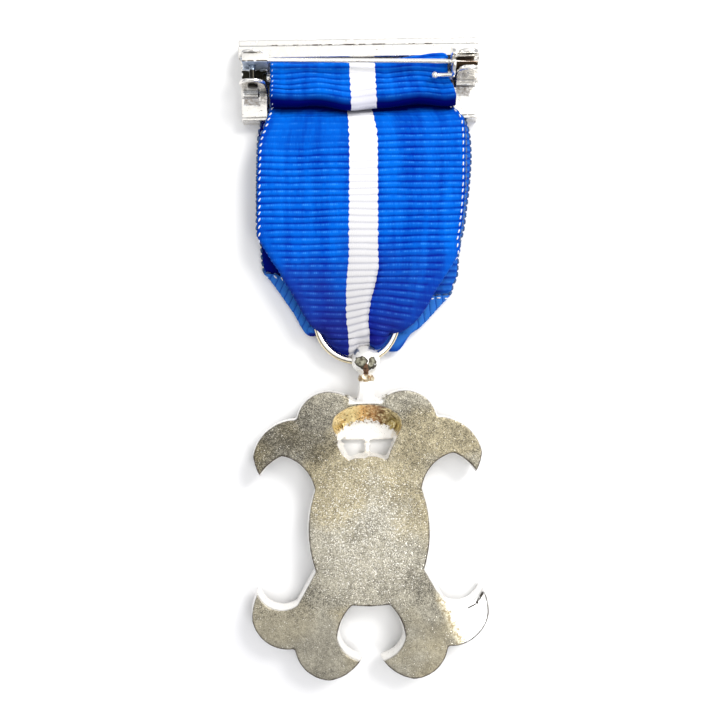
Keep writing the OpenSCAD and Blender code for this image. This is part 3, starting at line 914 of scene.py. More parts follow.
def polish_group():
    """Plated silver: faint scratches, uneven gloss, and dirt and painted shade where the mask says."""
    inputs = {"Metal": (*SILVER, 1), "Dirt_And_Shade": (*DIRT_AND_SHADE, 1), "Mask": 0.0, "Pits": 0.5}
    n, given, give = new_group("plated_silver", inputs)
    place = n.place()
    scratch = n.noise(n.scaled(place, (0.25, 1.0, 1.0)), 5200.0, 2.0, 0.7)
    cloud = n.noise(place, 420.0, 3.0, 0.6)
    pits = n.times(n.range(n.noise(place, 2300.0, 2.0, 0.6), 0.63, 0.72), given["Pits"])
    edge = n.plus(given["Mask"], n.range(cloud, 0.35, 0.65, -0.22, 0.22))
    grime_and_shade = n.times(n.range(edge, 0.3, 0.75), given["Mask"], clamp=True)
    grime_and_shade = n.most(grime_and_shade, n.times(pits, 0.5))
    colour = n.blend(n.range(cloud, 0.3, 0.75, 0.0, 0.35), given["Metal"], (0.72, 0.68, 0.6))
    return give(
        Color=n.blend(grime_and_shade, colour, given["Dirt_And_Shade"]),
        Height=n.minus(n.times(scratch, 0.4), n.times(pits, 1.2)),
        Roughness=n.plus(n.range(cloud, 0.3, 0.7, 0.16, 0.3), n.times(grime_and_shade, 0.4), clamp=True),
    )


cast_grain = cast_group()
plated_silver = polish_group()


def polished(name, bump, **values):
    """A plated finish with its own values; returns it with its nodes and its group."""
    material, n = new_material(name, Metallic=1.0)
    group = n.add("ShaderNodeGroup", node_tree=plated_silver)
    for key, value in values.items():
        group.inputs[key].default_value = value
    n.dress(group.outputs, bump, 0.00004)
    return material, n, group


def node_copy(node, name):
    """A free copy of a CAD node, its loose triangles merged into flat faces."""
    mesh = frame["nodes"][node].data.copy()
    mesh.name = name
    work = bmesh.new()
    work.from_mesh(mesh)
    bmesh.ops.remove_doubles(work, verts=work.verts, dist=2e-6)
    bmesh.ops.dissolve_limit(work, angle_limit=math.radians(1), verts=work.verts, edges=work.edges)
    work.to_mesh(mesh)
    work.free()
    return new_object(name, mesh)


def join(pieces):
    only(pieces[0])
    for piece in pieces:
        piece.select_set(True)
    bpy.ops.object.join()
    return bpy.context.object


def fuse(piece, voxel, rounds):
    """Makes one skin of overlapping solids and softens its edges."""
    add_modifier(piece, "REMESH", mode="VOXEL", voxel_size=voxel * MM, use_smooth_shade=True)
    add_modifier(piece, "SMOOTH", factor=0.5, iterations=rounds)


def smooth_by_angle(piece, degrees):
    only(piece)
    bpy.ops.object.shade_smooth_by_angle(angle=math.radians(degrees))
    return piece


# Cross: the casting, measured from the middle of its oval

BALL_TO_OVAL = 23.87
CROSS_TURN = math.radians(0.4)
OVAL_B = 10.63
# The right halves of clockwise outlines: x, y, and how far the edge bulges out before the next point
HALF_CROSS = [
    (1.9, 18.05, 0.35),
    (5.32, 19.5, 1.1),
    (9.79, 15.68, 1.4),
    (16.02, 10.84, 0.15),
    (15.22, 8.09, -0.3),
    (12.03, 10.7, -1.05),
    (7.45, 5.75, 0.95),
    (7.53, -5.6, 0),
    (10.2, -10.3, -1.4),
    (15.84, -8.72, 0.25),
    (16.6, -12.3, 1.5),
    (10.7, -16.35, 1.25),
    (5.88, -20.91, 0.5),
    (1.7, -18.3, -0.7),
    (4.85, -14.9, -0.45),
    (2.66, -10.42, 0.03),
    (0, -OVAL_B, 0),
]
HALF_WINDOW = [(0, 17.55, 0.45), (4.3, 16.2, 0.2), (4.8, 14.4, 0), (2.57, 10.05, -0.17), (0, OVAL_B, 0)]
# The crown's hollow, from its top down to its straight base
HALF_HOLLOW = [(0, 17.55, 0.45), (4.3, 16.2, 0.2), (4.8, 14.4, 0), (3.85, 12.55, 0)]
BASE_Y = 12.45
# The plate's edge from front to back: height, and how far it stands out from the back's outline
EDGE_PROFILE = [(1.75, 0.3), (2.5, 0.32), (3.2, 0.22), (3.78, 0.12), (4.05, 0.02), (4.2, -0.13)]
# The crown's inner wall from its top down: height, and how much of its slope is reached there
WALL_PROFILE = [(4.15, 0.0), (3.6, 0.1), (2.9, 0.3), (2.1, 0.62), (1.4, 0.9), (0.95, 1.12), (0.5, 1.15)]
# The stem between the ball's neck and the crown: place along Y, half its width
STEM = [(20.95, 0.95), (20.3, 1.0), (19.3, 1.12), (18.7, 1.27), (18.2, 1.55), (17.85, 2.1)]
STEM_SIDES = 24


def on_cross(x, y, z):
    c, s = math.cos(CROSS_TURN), math.sin(CROSS_TURN)
    return at(BALL_X + x * c - (y - BALL_TO_OVAL) * s, x * s + (y - BALL_TO_OVAL) * c, z)


def cross_place(co):
    """A place in the shared frame in the cross's own millimetres, without its small turn."""
    return co.x / MM - SHIFT_X - BALL_X, co.y / MM - SHIFT_Y + BALL_TO_OVAL, co.z / MM


def bulged(p, q, bulge, step):
    """Points on the arc from p to q that bulges to the left of the way, without q."""
    chord = (q - p).length
    count = max(1, round((chord + abs(bulge)) / step))
    if abs(bulge) < 0.02:
        return [p + (q - p) * i / count for i in range(count)]
    radius = ((chord / 2) ** 2 + bulge**2) / (2 * abs(bulge))
    side = Vector((p.y - q.y, q.x - p.x)) / chord
    centre = (p + q) / 2 - side * math.copysign(radius - abs(bulge), bulge)
    first = math.atan2(p.y - centre.y, p.x - centre.x)
    sweep = -math.copysign(2 * math.asin(min(1, chord / 2 / radius)), bulge)
    turns = [first + sweep * i / count for i in range(count)]
    return [centre + radius * Vector((math.cos(a), math.sin(a))) for a in turns]


def half_line(half, step):
    points = []
    for a, b in zip(half, half[1:]):
        points += bulged(Vector(a[:2]), Vector(b[:2]), a[2], step)
    return points + [Vector(half[-1][:2])]


def outline(half):
    """The whole clockwise outline from the table of its right half."""
    points = half_line(half, 0.35)
    return points + [Vector((-p.x, p.y)) for p in reversed(points) if p.x > 0.01]


def grown(points, distance):
    """The outline moved outwards, or inwards where the distance is negative."""
    moved, count = [], len(points)
    for i, point in enumerate(points):
        before = (point - points[i - 1]).normalized()
        after = (points[(i + 1) % count] - point).normalized()
        a, b = Vector((-before.y, before.x)), Vector((-after.y, after.x))
        moved.append(point + distance * (a + b) / max(0.4, 1 + a.dot(b)))
    return moved


def loft(name, loops):
    """A closed solid through loops of equally many points."""
    count = len(loops[0])
    faces = skin(len(loops), count)
    faces.append(tuple(reversed(range(count))))
    faces.append(tuple(range((len(loops) - 1) * count, len(loops) * count)))
    return face_outwards(mesh_piece(name, [p for loop in loops for p in loop], faces))


def standing(name, layers):
    """A solid through flat outlines of the cross, each at its height."""
    return loft(name, [[on_cross(p.x, p.y, z) for p in points] for z, points in layers])


def block(name, low, high, place=at):
    """A box between two corners, for a solid that is fused with others."""
    corners = ((low[0], low[1]), (high[0], low[1]), (high[0], high[1]), (low[0], high[1]))
    return loft(name, [[place(x, y, z) for x, y in corners] for z in (low[2], high[2])])


def cut(piece, tool):
    add_modifier(piece, "BOOLEAN", operation="DIFFERENCE", solver="EXACT", object=tool)
    bpy.data.objects.remove(tool)


def hollow_wall():
    """The sloping, lumpy wall inside the crown, from one end of its base round to the other."""
    right = half_line(HALF_HOLLOW, 0.3)
    way = [Vector((-p.x, p.y)) for p in reversed(right[1:])] + right
    points, count = [], len(WALL_PROFILE) + 2
    for i, p in enumerate(way):
        before, after = way[max(0, i - 1)], way[min(len(way) - 1, i + 1)]
        along = (after - before).normalized()
        out = Vector((-along.y, along.x))
        top = smooth((p.y - 13.2) / 2.6)
        reach = mix(0.95 if p.x < 0 else 0.4, 2.2, top * max(0.0, out.y))
        lump = 0.3 * noise.noise(Vector((p.x * 1.5, p.y * 1.5, 4)))
        lump += 0.16 * noise.noise(Vector((p.x * 4.4, 2, 7)))
        for z, share in WALL_PROFILE:
            inset = share * (reach + lump * top * share)
            points.append(on_cross(p.x - out.x * inset, p.y - out.y * inset, z))
        # Its hidden back lies in the plate
        points += [on_cross(p.x + out.x * 0.4, p.y + out.y * 0.4, z) for z in (0.75, 4.0)]
    faces = skin(len(way), count)
    faces.append(tuple(range(count)))
    faces.append(tuple(reversed(range((len(way) - 1) * count, len(way) * count))))
    return face_outwards(mesh_piece("hollow_wall", points, faces))


def edge_loop(points, height, out):
    """One loop of the plate's edge, which is steeper round the upper arms."""
    loop = []
    for point, moved in zip(points, grown(points, out)):
        share = mix(1.0, 0.3, smooth((point.y - 2.0) / 5.0)) if out > 0 else 1.0
        place = point.lerp(moved, share)
        loop.append(on_cross(place.x, place.y, height))
    return loop


def horn_bend(x, y):
    """How far the lower right horn is bent towards the surface, in millimetres."""
    return smooth((x - 10.6) / 6.5) * smooth((-6.5 - y) / 2)


def make_cross():
    # The solid up to its neck, where the drilled ball follows
    casting = node_copy("cross", "cross_casting")
    edit(casting)
    bpy.ops.mesh.bisect(plane_co=at(0, -3.0, 0), plane_no=(0, 1, 0), clear_outer=True, use_fill=True)
    bpy.ops.object.mode_set(mode="OBJECT")
    room = grown(outline(HALF_HOLLOW), -0.35)
    for p in room:
        if p.y < BASE_Y + 0.6:
            p.y = BASE_Y - 0.4
    cut(casting, standing("room", ((0.7, room), (2.5, room))))
    back = outline(HALF_CROSS)
    plate = loft("plate", [edge_loop(back, height, out) for height, out in EDGE_PROFILE])
    opening = outline(HALF_WINDOW)
    wide = []
    for point, moved in zip(opening, grown(opening, 1.15)):
        left = 0.9 * smooth((14.6 - point.y) / 2) * smooth((point.y - 10.0) / 0.8) if point.x < 0 else 0.0
        share = max(left, 0.3 * smooth((11.2 - point.y) / 0.7), 0.08)
        wide.append(point.lerp(moved, share))
    for piece, low in ((plate, 1.0), (casting, 1.9)):
        cut(piece, standing("opening", ((low, opening), (6, wide))))
    sill = block("sill", (-3.6, BASE_Y - 0.1, 0.3), (3.6, 15.6, 0.85), on_cross)
    turns = [math.tau * i / STEM_SIDES for i in range(STEM_SIDES)]
    stem = loft(
        "stem",
        [[on_cross(r * math.cos(a), y, BALL_Z + min(r, 1.3) * math.sin(a)) for a in turns] for y, r in STEM],
    )
    casting = join([casting, plate, hollow_wall(), sill, stem])
    fuse(casting, 0.2, 2)
    normals = [vertex.normal.copy() for vertex in casting.data.vertices]
    for vertex, normal in zip(casting.data.vertices, normals):
        x, y, z = cross_place(vertex.co)
        lobe = smooth((y - 18.0) / 0.4) * smooth((abs(x) - 2.4) / 0.6)
        steep = smooth((y - 1.0) / 3.0) * max(smooth((abs(x) - 5.4) / 0.8), lobe) * smooth((3.0 - z) / 0.8)
        vertex.co -= Vector((normal.x, normal.y, 0)) * (0.26 * MM * steep)
        vertex.co.z -= MM * horn_bend(x, y)
    return casting


def in_crown(x, y):
    return BASE_Y - 0.7 < y < 17.9 and abs(x) < 5.0 - max(0.0, 14.4 - y) * 0.45


def is_gold(co, normal):
    """1 on the upper wall inside the crown, where the plating has gone brown."""
    x, y, z = cross_place(co)
    if not in_crown(x, y) or z > 4.1 or z < 0.5:
        return 0.0
    edge = 15.3 - 0.1 * x * x + 0.5 * noise.noise(Vector((x * 1.6, y * 1.6, 2)))
    return smooth((y - edge + 0.7) / 1.4)


def is_wall(co, normal):
    """How much a place is on the polished side of the plate or on the crown's bright floor."""
    x, y, z = cross_place(co)
    if in_crown(x, y) and z < 4.05:
        return 1.0
    if y > 17.75 and abs(x) < 3.0:
        return smooth((2.6 - abs(x) + 0.5 * noise.noise(Vector((x * 2, y * 2, 5)))) / 0.4)
    if abs(x) < 0.6 and 10.0 < y < 13.0 and z < 1.8:
        return 1.0
    return smooth((0.8 - abs(normal.z)) / 0.35)


def painted_edge_shade(co, normal):
    """How strong the painted shade on the back's rounded edge is: most where it faces away from the top."""
    x, y, z = cross_place(co)
    z += horn_bend(x, y)
    band = smooth((0.985 - normal.z) / 0.1) * smooth((normal.z - 0.2) / 0.3) * smooth((z - 3.2) / 0.4)
    if in_crown(x, y) or (abs(x) < 2.5 and y > 17.6):
        return 0.0
    facing = mix(1.0, 0.25, smooth((normal.y + 0.15) / 0.35))
    if x > 11 and y < -9.5:
        facing = smooth((normal.x - normal.y) / 0.2)
    return min(1.0, band * facing * (0.95 + 0.5 * noise.noise(Vector((x, y, 9)))))


def spot(n, x, y, middle, offset, size, strength):
    """An oval spot that is strongest inside and fades out at its edge; places in millimetres."""
    across = n.times(n.minus(x, (middle[0] + offset[0]) * MM), 1 / (size[0] * MM))
    down = n.times(n.minus(y, (middle[1] + offset[1]) * MM), 1 / (size[1] * MM))
    far = n.plus(n.times(across, across), n.times(down, down))
    return n.times(n.range(far, 1.25, 0.55), strength)


def spots(n, x, y, middle, table):
    """The strongest spot of a table at each place."""
    return n.most(*(spot(n, x, y, middle, *row) for row in table))


def streak(n, x, y, start, end, wide):
    """A mask along a short line between two points, in the source's own millimetres."""
    a, b = at(*start, 0), at(*end, 0)
    length, way, soft = (b - a).length, (b - a).normalized(), 0.1 * MM
    dx, dy = n.minus(x, a.x), n.minus(y, a.y)
    along = n.plus(n.times(dx, way.x), n.times(dy, way.y))
    off = n.math("ABSOLUTE", n.minus(n.times(dx, way.y), n.times(dy, way.x)))
    ends = n.times(n.range(along, -soft, soft), n.range(along, length + soft, length - soft))
    return n.times(ends, n.range(off, wide * 1.5 * MM, wide * 0.7 * MM))


# Columns: place from the oval's middle, half its width and height, strength
SMOKY_SPOTS = [
    ((-9, 14), (7.0, 4.8), 0.24),
    ((-7.5, -9), (2.6, 1.8), 0.1),
    ((6.5, 16.5), (2.0, 2.4), 0.1),
    ((7.5, -7.5), (2.4, 1.8), 0.1),
    ((-13.2, 11.8), (5.2, 4.6), 0.33),
]
WARM_SPOTS = [
    ((-4.9, 6.1), (5.0, 6.0), 1.0),
    ((11.5, 14.2), (6.5, 4.0), 0.6),
    ((0.0, -6.5), (9.5, 5.0), -1.0),
    ((-7.0, 18.0), (4.0, 4.0), -0.6),
    ((6.3, 17.9), (4.0, 3.0), -0.5),
    ((6.9, -12.1), (5.0, 4.0), -0.35),
    ((-12.4, -12.1), (5.0, 4.0), 0.4),
    ((-9.0, 13.6), (4.0, 3.0), 0.3),
]
# The browned wall inside the crown, from left to right
GOLD_STOPS = [
    (0.0, (0.8, 0.7, 0.4)),
    (0.18, (0.7, 0.5, 0.19)),
    (0.34, (0.98, 0.8, 0.4)),
    (0.46, (0.85, 0.52, 0.2)),
    (0.58, (0.5, 0.26, 0.1)),
    (0.7, (0.27, 0.15, 0.07)),
    (0.84, (0.42, 0.34, 0.15)),
    (1.0, (0.66, 0.56, 0.3)),
]
# Dark marks: from, to, half their width
BROKEN_MARKS = [((14.0, -35.15), (15.4, -34.55), 0.1), ((15.4, -34.55), (16.45, -32.95), 0.2)]
MARKS = [((-0.7, -3.3), (-1.14, -5.6), 0.07), ((-15.3, -31.3), (-14.8, -32.4), 0.12)]


def cast_material():
    material, n = new_material("cast_metal", Metallic=1.0)
    place = n.place()
    x, y, _ = n.split(place)
    # The oval is lighter in its middle, and has its specks there
    across = n.times(n.plus(x, -0.0001), 1 / 0.0082)
    down = n.times(n.plus(y, 0.0248), 1 / 0.0108)
    middle = n.range(n.plus(n.times(across, across), n.times(down, down)), 1.6, 0.2)
    oval = (BALL_X + SHIFT_X, SHIFT_Y - BALL_TO_OVAL)
    warm = 0.0
    for row in WARM_SPOTS:
        warm = n.plus(warm, spot(n, x, y, oval, *row))
    side = n.times(middle, n.range(x, -0.007, 0.007, 0.05, -0.05))
    tone = n.plus(n.range(middle, 0.0, 1.0, -0.035, 0.11), side)
    values = {
        "Specks": n.range(middle, 0.0, 1.0, 0.1, 1.0),
        "Tone": n.minus(tone, spots(n, x, y, oval, SMOKY_SPOTS)),
        "Grain": n.range(y, -0.0345, -0.0375, 1.0, 0.48),
        "Warm": warm,
    }
    cast = n.add("ShaderNodeGroup", values, node_tree=cast_grain).outputs
    # The bright walls, and the crown's inside with its browned upper wall
    wall, gilt = n.attribute("wall"), n.attribute("gold")
    patch = n.noise(place, 1900.0, 3.0, 0.75)
    gold = n.ramp(n.range(x, -0.0055, 0.0055), GOLD_STOPS)
    gold = n.blend(n.range(patch, 0.5, 0.66), gold, (0.98, 0.88, 0.55))
    gold = n.blend(n.range(patch, 0.45, 0.37), gold, (0.12, 0.07, 0.03))
    bright = n.blend(n.range(patch, 0.66, 0.74), SILVER, (0.35, 0.3, 0.22))
    dots = n.times(n.range(n.noise(place, 4200.0, 1.0), 0.56, 0.62), n.range(gilt, 0.02, 0.3))
    bright = n.blend(dots, bright, (0.2, 0.13, 0.06))
    gilt = n.range(n.plus(gilt, n.wander(place, 2600.0, 0.45, 2.0, 0.7)), 0.45, 0.56)
    colour = n.blend(wall, cast["Color"], bright)
    colour = n.blend(n.times(gilt, wall), colour, gold)
    dull_wall = n.times(wall, n.minus(1.0, gilt))
    # The bent lower right horn: a painted highlight, with a speckled fringe and a few dark marks
    lean = n.plus(x, n.times(y, 0.468))
    right = n.range(x, 0.009, 0.0095)
    horn = n.range(n.plus(lean, n.wander(place, 1800.0, 0.0005, 2.0, 0.7)), -0.0056, -0.005)
    horn = n.times(horn, right, n.range(y, -0.028, -0.030))
    fringe = n.times(n.range(lean, -0.0068, -0.0056), n.range(lean, -0.0042, -0.0054))
    fringe = n.times(fringe, n.times(right, n.range(y, -0.0325, -0.034)))
    fringe_speckles = n.blend(n.range(patch, 0.42, 0.58), (0.42, 0.33, 0.18), (1.0, 0.93, 0.72))
    colour = n.blend(fringe, colour, fringe_speckles)
    dull = n.range(n.noise(place, 1100.0, 3.0, 0.7), 0.66, 0.7)
    colour = n.blend(horn, colour, n.blend(dull, (1.0, 0.99, 0.97), (0.4, 0.36, 0.3)))
    marks = n.most(*(streak(n, x, y, *row) for row in BROKEN_MARKS))
    marks = n.times(marks, n.range(n.noise(place, 1500.0), 0.34, 0.44))
    marks = n.most(marks, *(streak(n, x, y, *row) for row in MARKS))
    colour = n.blend(marks, colour, (0.03, 0.026, 0.022))
    # Painted shade on the back's rounded edge, in dark brown
    n.shade(
        Base_Color=n.blend(n.attribute("edge"), colour, (0.06, 0.042, 0.028)),
        Metallic=n.range(dull_wall, 0.0, 1.0, 1.0, 0.35),
        Roughness=n.times(cast["Roughness"], n.range(n.most(wall, horn), 0.0, 1.0, 1.0, 0.6)),
        Normal=n.bump(cast["Height"], 0.5, 0.00005),
    )
    return material


cross = make_cross()
set_attribute(cross, "wall", is_wall)
set_attribute(cross, "gold", is_gold)
set_attribute(cross, "edge", painted_edge_shade)
roughen(cross, 0.035, 0.42, lambda co, normal: 1.0 if co.z > 3.9 * MM and normal.z > 0.7 else 0.35)
finish_piece(cross, cast_material(), "medal", "cross_metal", "cross")


def add_torus(wire, segments, sides):
    """A torus where the suspension ring lies, of a wire's radius in millimetres."""
    bpy.ops.mesh.primitive_torus_add(
        location=at(RING_X, RING_Y, RING_Z),
        major_radius=RING_R * MM,
        minor_radius=wire * MM,
        major_segments=segments,
        minor_segments=sides,
    )
    return bpy.context.object


# The ball's neck, as radius and place along Y
NECK = [(1.0, -1.84), (0.9, -2.05), (0.98, -2.3), (1.05, -2.6), (0.98, -2.9), (0.92, -3.1), (0.0, -3.2)]


def make_ball():
    """The polished ball and its neck, turned round one axis and drilled for the ring."""
    turns = [math.radians(6 * i) for i in range(1, 25)]
    profile = [(0.0, BALL_R)] + [(BALL_R * math.sin(a), BALL_R * math.cos(a)) for a in turns] + NECK
    edges = [(i, i + 1) for i in range(len(profile) - 1)]
    ball = mesh_piece("ball", [at(BALL_X + r, h, BALL_Z) for r, h in profile], [], edges)
    centre = at(BALL_X, 0, BALL_Z)
    edit(ball)
    bpy.ops.mesh.spin(steps=72, angle=math.tau, center=centre, axis=(0, 1, 0))
    bpy.ops.mesh.select_all(action="SELECT")
    bpy.ops.mesh.remove_doubles(threshold=1e-6)
    bpy.ops.mesh.normals_make_consistent(inside=False)
    bpy.ops.object.mode_set(mode="OBJECT")
    # The neck's petals
    for vertex in ball.data.vertices:
        away = vertex.co - centre
        down = -away.y / MM
        petal = smooth((down - 1.95) / 0.4) * smooth((3.15 - down) / 0.4)
        turn = math.atan2(away.z, away.x)
        waves = 0.26 * math.cos(2.5 * turn + 0.4) ** 2 + 0.12 * math.sin(7 * turn + 5 * down) - 0.08
        swell = 1 + petal * waves
        vertex.co.x = centre.x + away.x * swell
        vertex.co.z = centre.z + away.z * swell
    cut(ball, add_torus(WIRE_R + 0.1, 96, 20))
    return smooth_by_angle(ball, 40)


# What the ball mirrors, from its middle: place, half its width and height, strength
LOBES = [
    ((-0.62, -0.25), (0.85, 0.72), 1.0),
    ((0.88, -0.38), (0.52, 0.82), 1.0),
    ((-0.35, -0.9), (0.45, 0.42), 0.6),
    ((0.5, -1.05), (0.32, 0.42), 0.6),
]
COLUMN_SPOT = [((0.05, -1.5), (0.42, 1.0), 1.0)]
RIM_SPOTS = [((-1.5, 1.3), (0.62, 0.5), 0.85), ((1.0, 1.75), (0.7, 0.36), 0.85)]


def ball_material():
    material, n, group = polished("ball_metal", 0.1, Metal=(1.0, 0.99, 0.95, 1), Pits=0.0)
    wobble = n.noise(n.place(), 1500.0)
    x, y, z = n.split(n.place())
    shift = n.range(wobble, 0.3, 0.7, -0.00018, 0.00018)
    shifted = (n.plus(x, shift), n.minus(y, shift))
    up = n.range(z, 2.9 * MM, 3.3 * MM)
    middle = (BALL_X + SHIFT_X, SHIFT_Y)
    # Painted reflections: dark lobes with lighter insides, blue spots at the rim and a brown column
    lobes = spots(n, *shifted, middle, LOBES)
    inside = n.blend(n.range(wobble, 0.42, 0.62), (0.1, 0.09, 0.06), (0.5, 0.48, 0.36))
    inside = n.blend(n.range(lobes, 0.55, 0.95), (0.045, 0.038, 0.025), inside)
    colour = n.blend(n.times(n.range(lobes, 0.1, 0.3), up), group.outputs["Color"], inside)
    colour = n.blend(spots(n, *shifted, middle, RIM_SPOTS), colour, (0.02, 0.07, 0.2))
    brown = n.blend(n.range(wobble, 0.4, 0.6), (0.07, 0.035, 0.018), (0.26, 0.14, 0.08))
    column = n.range(spots(n, *shifted, middle, COLUMN_SPOT), 0.1, 0.5)
    colour = n.blend(n.times(column, up), colour, brown)
    neck = n.blend(n.range(wobble, 0.42, 0.62), (0.32, 0.2, 0.09), (0.9, 0.8, 0.58))
    colour = n.blend(n.range(y, (SHIFT_Y - 1.95) * MM, (SHIFT_Y - 2.25) * MM), colour, neck)
    n.shade(Base_Color=colour, Roughness=n.plus(group.outputs["Roughness"], 0.12))
    n.shader.inputs["Metallic"].default_value = 0.6
    return material


finish_piece(make_ball(), ball_material(), "medal", "cross_metal")


# Suspension ring

# Where the wire's ends meet
SEAM = math.radians(118)


def make_ring():
    ring = add_torus(WIRE_R, 180, 28)
    ring.name = "ring"
    only(ring)
    bpy.ops.object.transform_apply(location=True, rotation=True, scale=True)
    centre = at(RING_X, RING_Y, RING_Z)
    for vertex in ring.data.vertices:
        away = vertex.co - centre
        turn = math.atan2(away.y, away.x)
        middle = centre + Vector((math.cos(turn), math.sin(turn), 0)) * RING_R * MM
        gap = abs(turn - SEAM) * RING_R
        squeeze = 1 - 0.22 * math.exp(-((gap / 0.16) ** 2))
        wave = 1 + 0.012 * math.sin(turn * 5 + 1) - 0.01
        vertex.co = middle + (vertex.co - middle) * squeeze * wave
    ring.data.shade_smooth()
    return ring


def ring_painted_reflection(co, normal):
    """Where the wire's painted reflection lies: 0 on its bright side, 0.5 on its thin dark line and 1 on the
    golden underside.
    """
    away = co - at(RING_X, RING_Y, RING_Z)
    away.z = 0
    return min(1.0, max(0.0, (away.normalized().dot(normal) - 0.2) / 0.42))


# The wire's painted reflection, from its bright side to its golden underside
RING_REFLECTION_STOPS = [
    (0.0, (1, 1, 1)),
    (0.22, (1, 1, 1)),
    (0.4, (0.12, 0.09, 0.06)),
    (0.62, (0.14, 0.11, 0.07)),
    (0.85, (1, 0.9, 0.66)),
]


def ring_material():
    material, n, group = polished("ring_metal", 0.15, Metal=(0.95, 0.93, 0.88, 1), Pits=0.15)
    # The painted reflection on the wire
    tint = n.ramp(n.attribute("tint"), RING_REFLECTION_STOPS)
    n.shade(Base_Color=n.blend(1.0, group.outputs["Color"], tint, "MULTIPLY"))
    return material


ring = make_ring()
set_attribute(ring, "tint", ring_painted_reflection)
finish_piece(ring, ring_material(), "medal", "ring_metal", "suspension_ring")


# Brooch frame with its hinge and catch

# Small ledges and lips, as two corners of a box
LEDGES = {
    "ledge_left": ((-16.7, 37.55, 1.8), (-14.4, 38.4, 2.45)),
    "ledge_right": ((13.6, 38.75, 1.8), (16.4, 39.6, 2.5)),
    "lip_left": ((-16.9, 34.3, 1.8), (-13.1, 34.62, 2.12)),
    "lip_right": ((13.1, 34.3, 1.8), (16.9, 34.62, 2.12)),
}
# The groove between the top rail and its soldered strip
GROOVE_Y = 44.7
# Painted shade in the frame's hollows and painted reflections on its faces: two corners, the height that
# they end at, and their colour
PAINTED_SHADE_AND_REFLECTIONS = [
    ((-16.7, 41.45), (-12.9, 42.7), 5.0, (0.55, 0.64, 0.78)),
    ((-16.8, 39.35), (-13.0, 41.5), 5.0, (0.028, 0.026, 0.018)),
    ((-16.5, 37.7), (-13.1, 38.85), 2.7, (0.2, 0.19, 0.16)),
    ((-16.6, 36.35), (-14.2, 37.55), 2.7, (0.36, 0.31, 0.26)),
    ((13.0, 41.0), (16.3, 42.2), 5.2, (0.035, 0.027, 0.018)),
    ((13.6, 39.5), (16.0, 40.75), 6.9, (0.5, 0.47, 0.5)),
    ((13.7, 37.3), (15.7, 39.1), 2.7, (0.3, 0.26, 0.22)),
]


def make_frame():
    casting = node_copy("brooch_frame", "frame_casting")
    body = join([casting] + [block(name, *corners) for name, corners in LEDGES.items()])
    fuse(body, 0.12, 2)
    return body


def frame_material():
    material, n, group = polished("frame_metal", 0.5, Pits=1.0)
    place = n.place()
    x, y, z = n.split(place)
    shift = n.wander(place, 1400.0, 0.00016, 2.0, 0.6)
    sx, sy = n.plus(x, shift), n.minus(y, shift)
    grain = n.range(n.noise(place, 2600.0, 2.0, 0.6), 0.35, 0.65, 0.6, 1.0)
    soft = 0.15 * MM
    # Painted shade and painted reflections, place by place
    painted_patch, painted_patch_colour = 0.0, PAINTED_SHADE_AND_REFLECTIONS[0][-1]
    for corner, opposite, top, tint in PAINTED_SHADE_AND_REFLECTIONS:
        low, high = at(*corner, 0), at(*opposite, 0)
        mark = n.range(z, top * MM, (top - 0.3) * MM)
        for value, first, last in ((sx, low.x, high.x), (sy, low.y, high.y)):
            mark = n.times(mark, n.range(value, first, first + soft), n.range(value, last, last - soft))
        # The darkest ones have no grain
        mark = n.times(mark, grain if tint[0] > 0.1 else 1.0)
        painted_patch_colour = n.blend(mark, painted_patch_colour, tint)
        painted_patch = n.most(painted_patch, mark)
    off_groove = n.math("ABSOLUTE", n.minus(y, (GROOVE_Y + SHIFT_Y) * MM))
    broken = n.range(n.noise(n.scaled(place, (1, 0.1, 0.1)), 650.0, 3.0, 0.7), 0.42, 0.55)
    off_middle = n.math("ABSOLUTE", n.plus(x, 0.0016))
    groove = n.times(n.range(off_groove, 0.2 * MM, 0.12 * MM), broken)
    groove = n.times(groove, n.range(off_middle, 0.0128, 0.0115), n.attribute("upward"))
    patch = n.range(n.noise(place, 700.0, 3.0, 0.65), 0.66, 0.8, 0.0, 0.5)
    # Darker where the frame is closed in and in random patches, less on the painted patches and at one clean
    # place
    mask = n.plus(n.range(n.attribute("shelter"), 0.12, 0.6), patch, clamp=True)
    clean = n.times(n.range(y, 42.05 * MM, 42.25 * MM), n.range(x, 12.6 * MM, 12.9 * MM))
    mask = n.times(mask, n.minus(1.0, n.most(painted_patch, n.times(clean, 0.85))))
    n.link(n.most(mask, groove), group.inputs["Mask"])
    colour = n.blend(painted_patch, group.outputs["Color"], painted_patch_colour)
    n.shade(Base_Color=colour, Roughness=n.most(group.outputs["Roughness"], n.times(painted_patch, 0.5)))
    return material


metal_frame = make_frame()
roughen(metal_frame, 0.03, 0.8)
shelter(metal_frame, "shelter", 2.2)
set_attribute(metal_frame, "upward", lambda co, normal: smooth((normal.z - 0.6) / 0.2))
finish_piece(metal_frame, frame_material(), "medal", "frame_metal", "brooch_frame")


def bevelled(node, name, width):
    piece = node_copy(node, name)
    settings = {"segments": 2, "limit_method": "ANGLE", "angle_limit": math.radians(35)}
    add_modifier(piece, "BEVEL", width=width * MM, harden_normals=False, **settings)
    return smooth_by_angle(piece, 35)


def rivet_looks(n, group, x, y):
    # Painted shade below and a painted blue-grey reflection above
    lit = n.range(y, 40.1 * MM, 40.3 * MM)
    n.shade(Base_Color=n.blend(lit, (0.02, 0.018, 0.014), (0.34, 0.4, 0.48)))


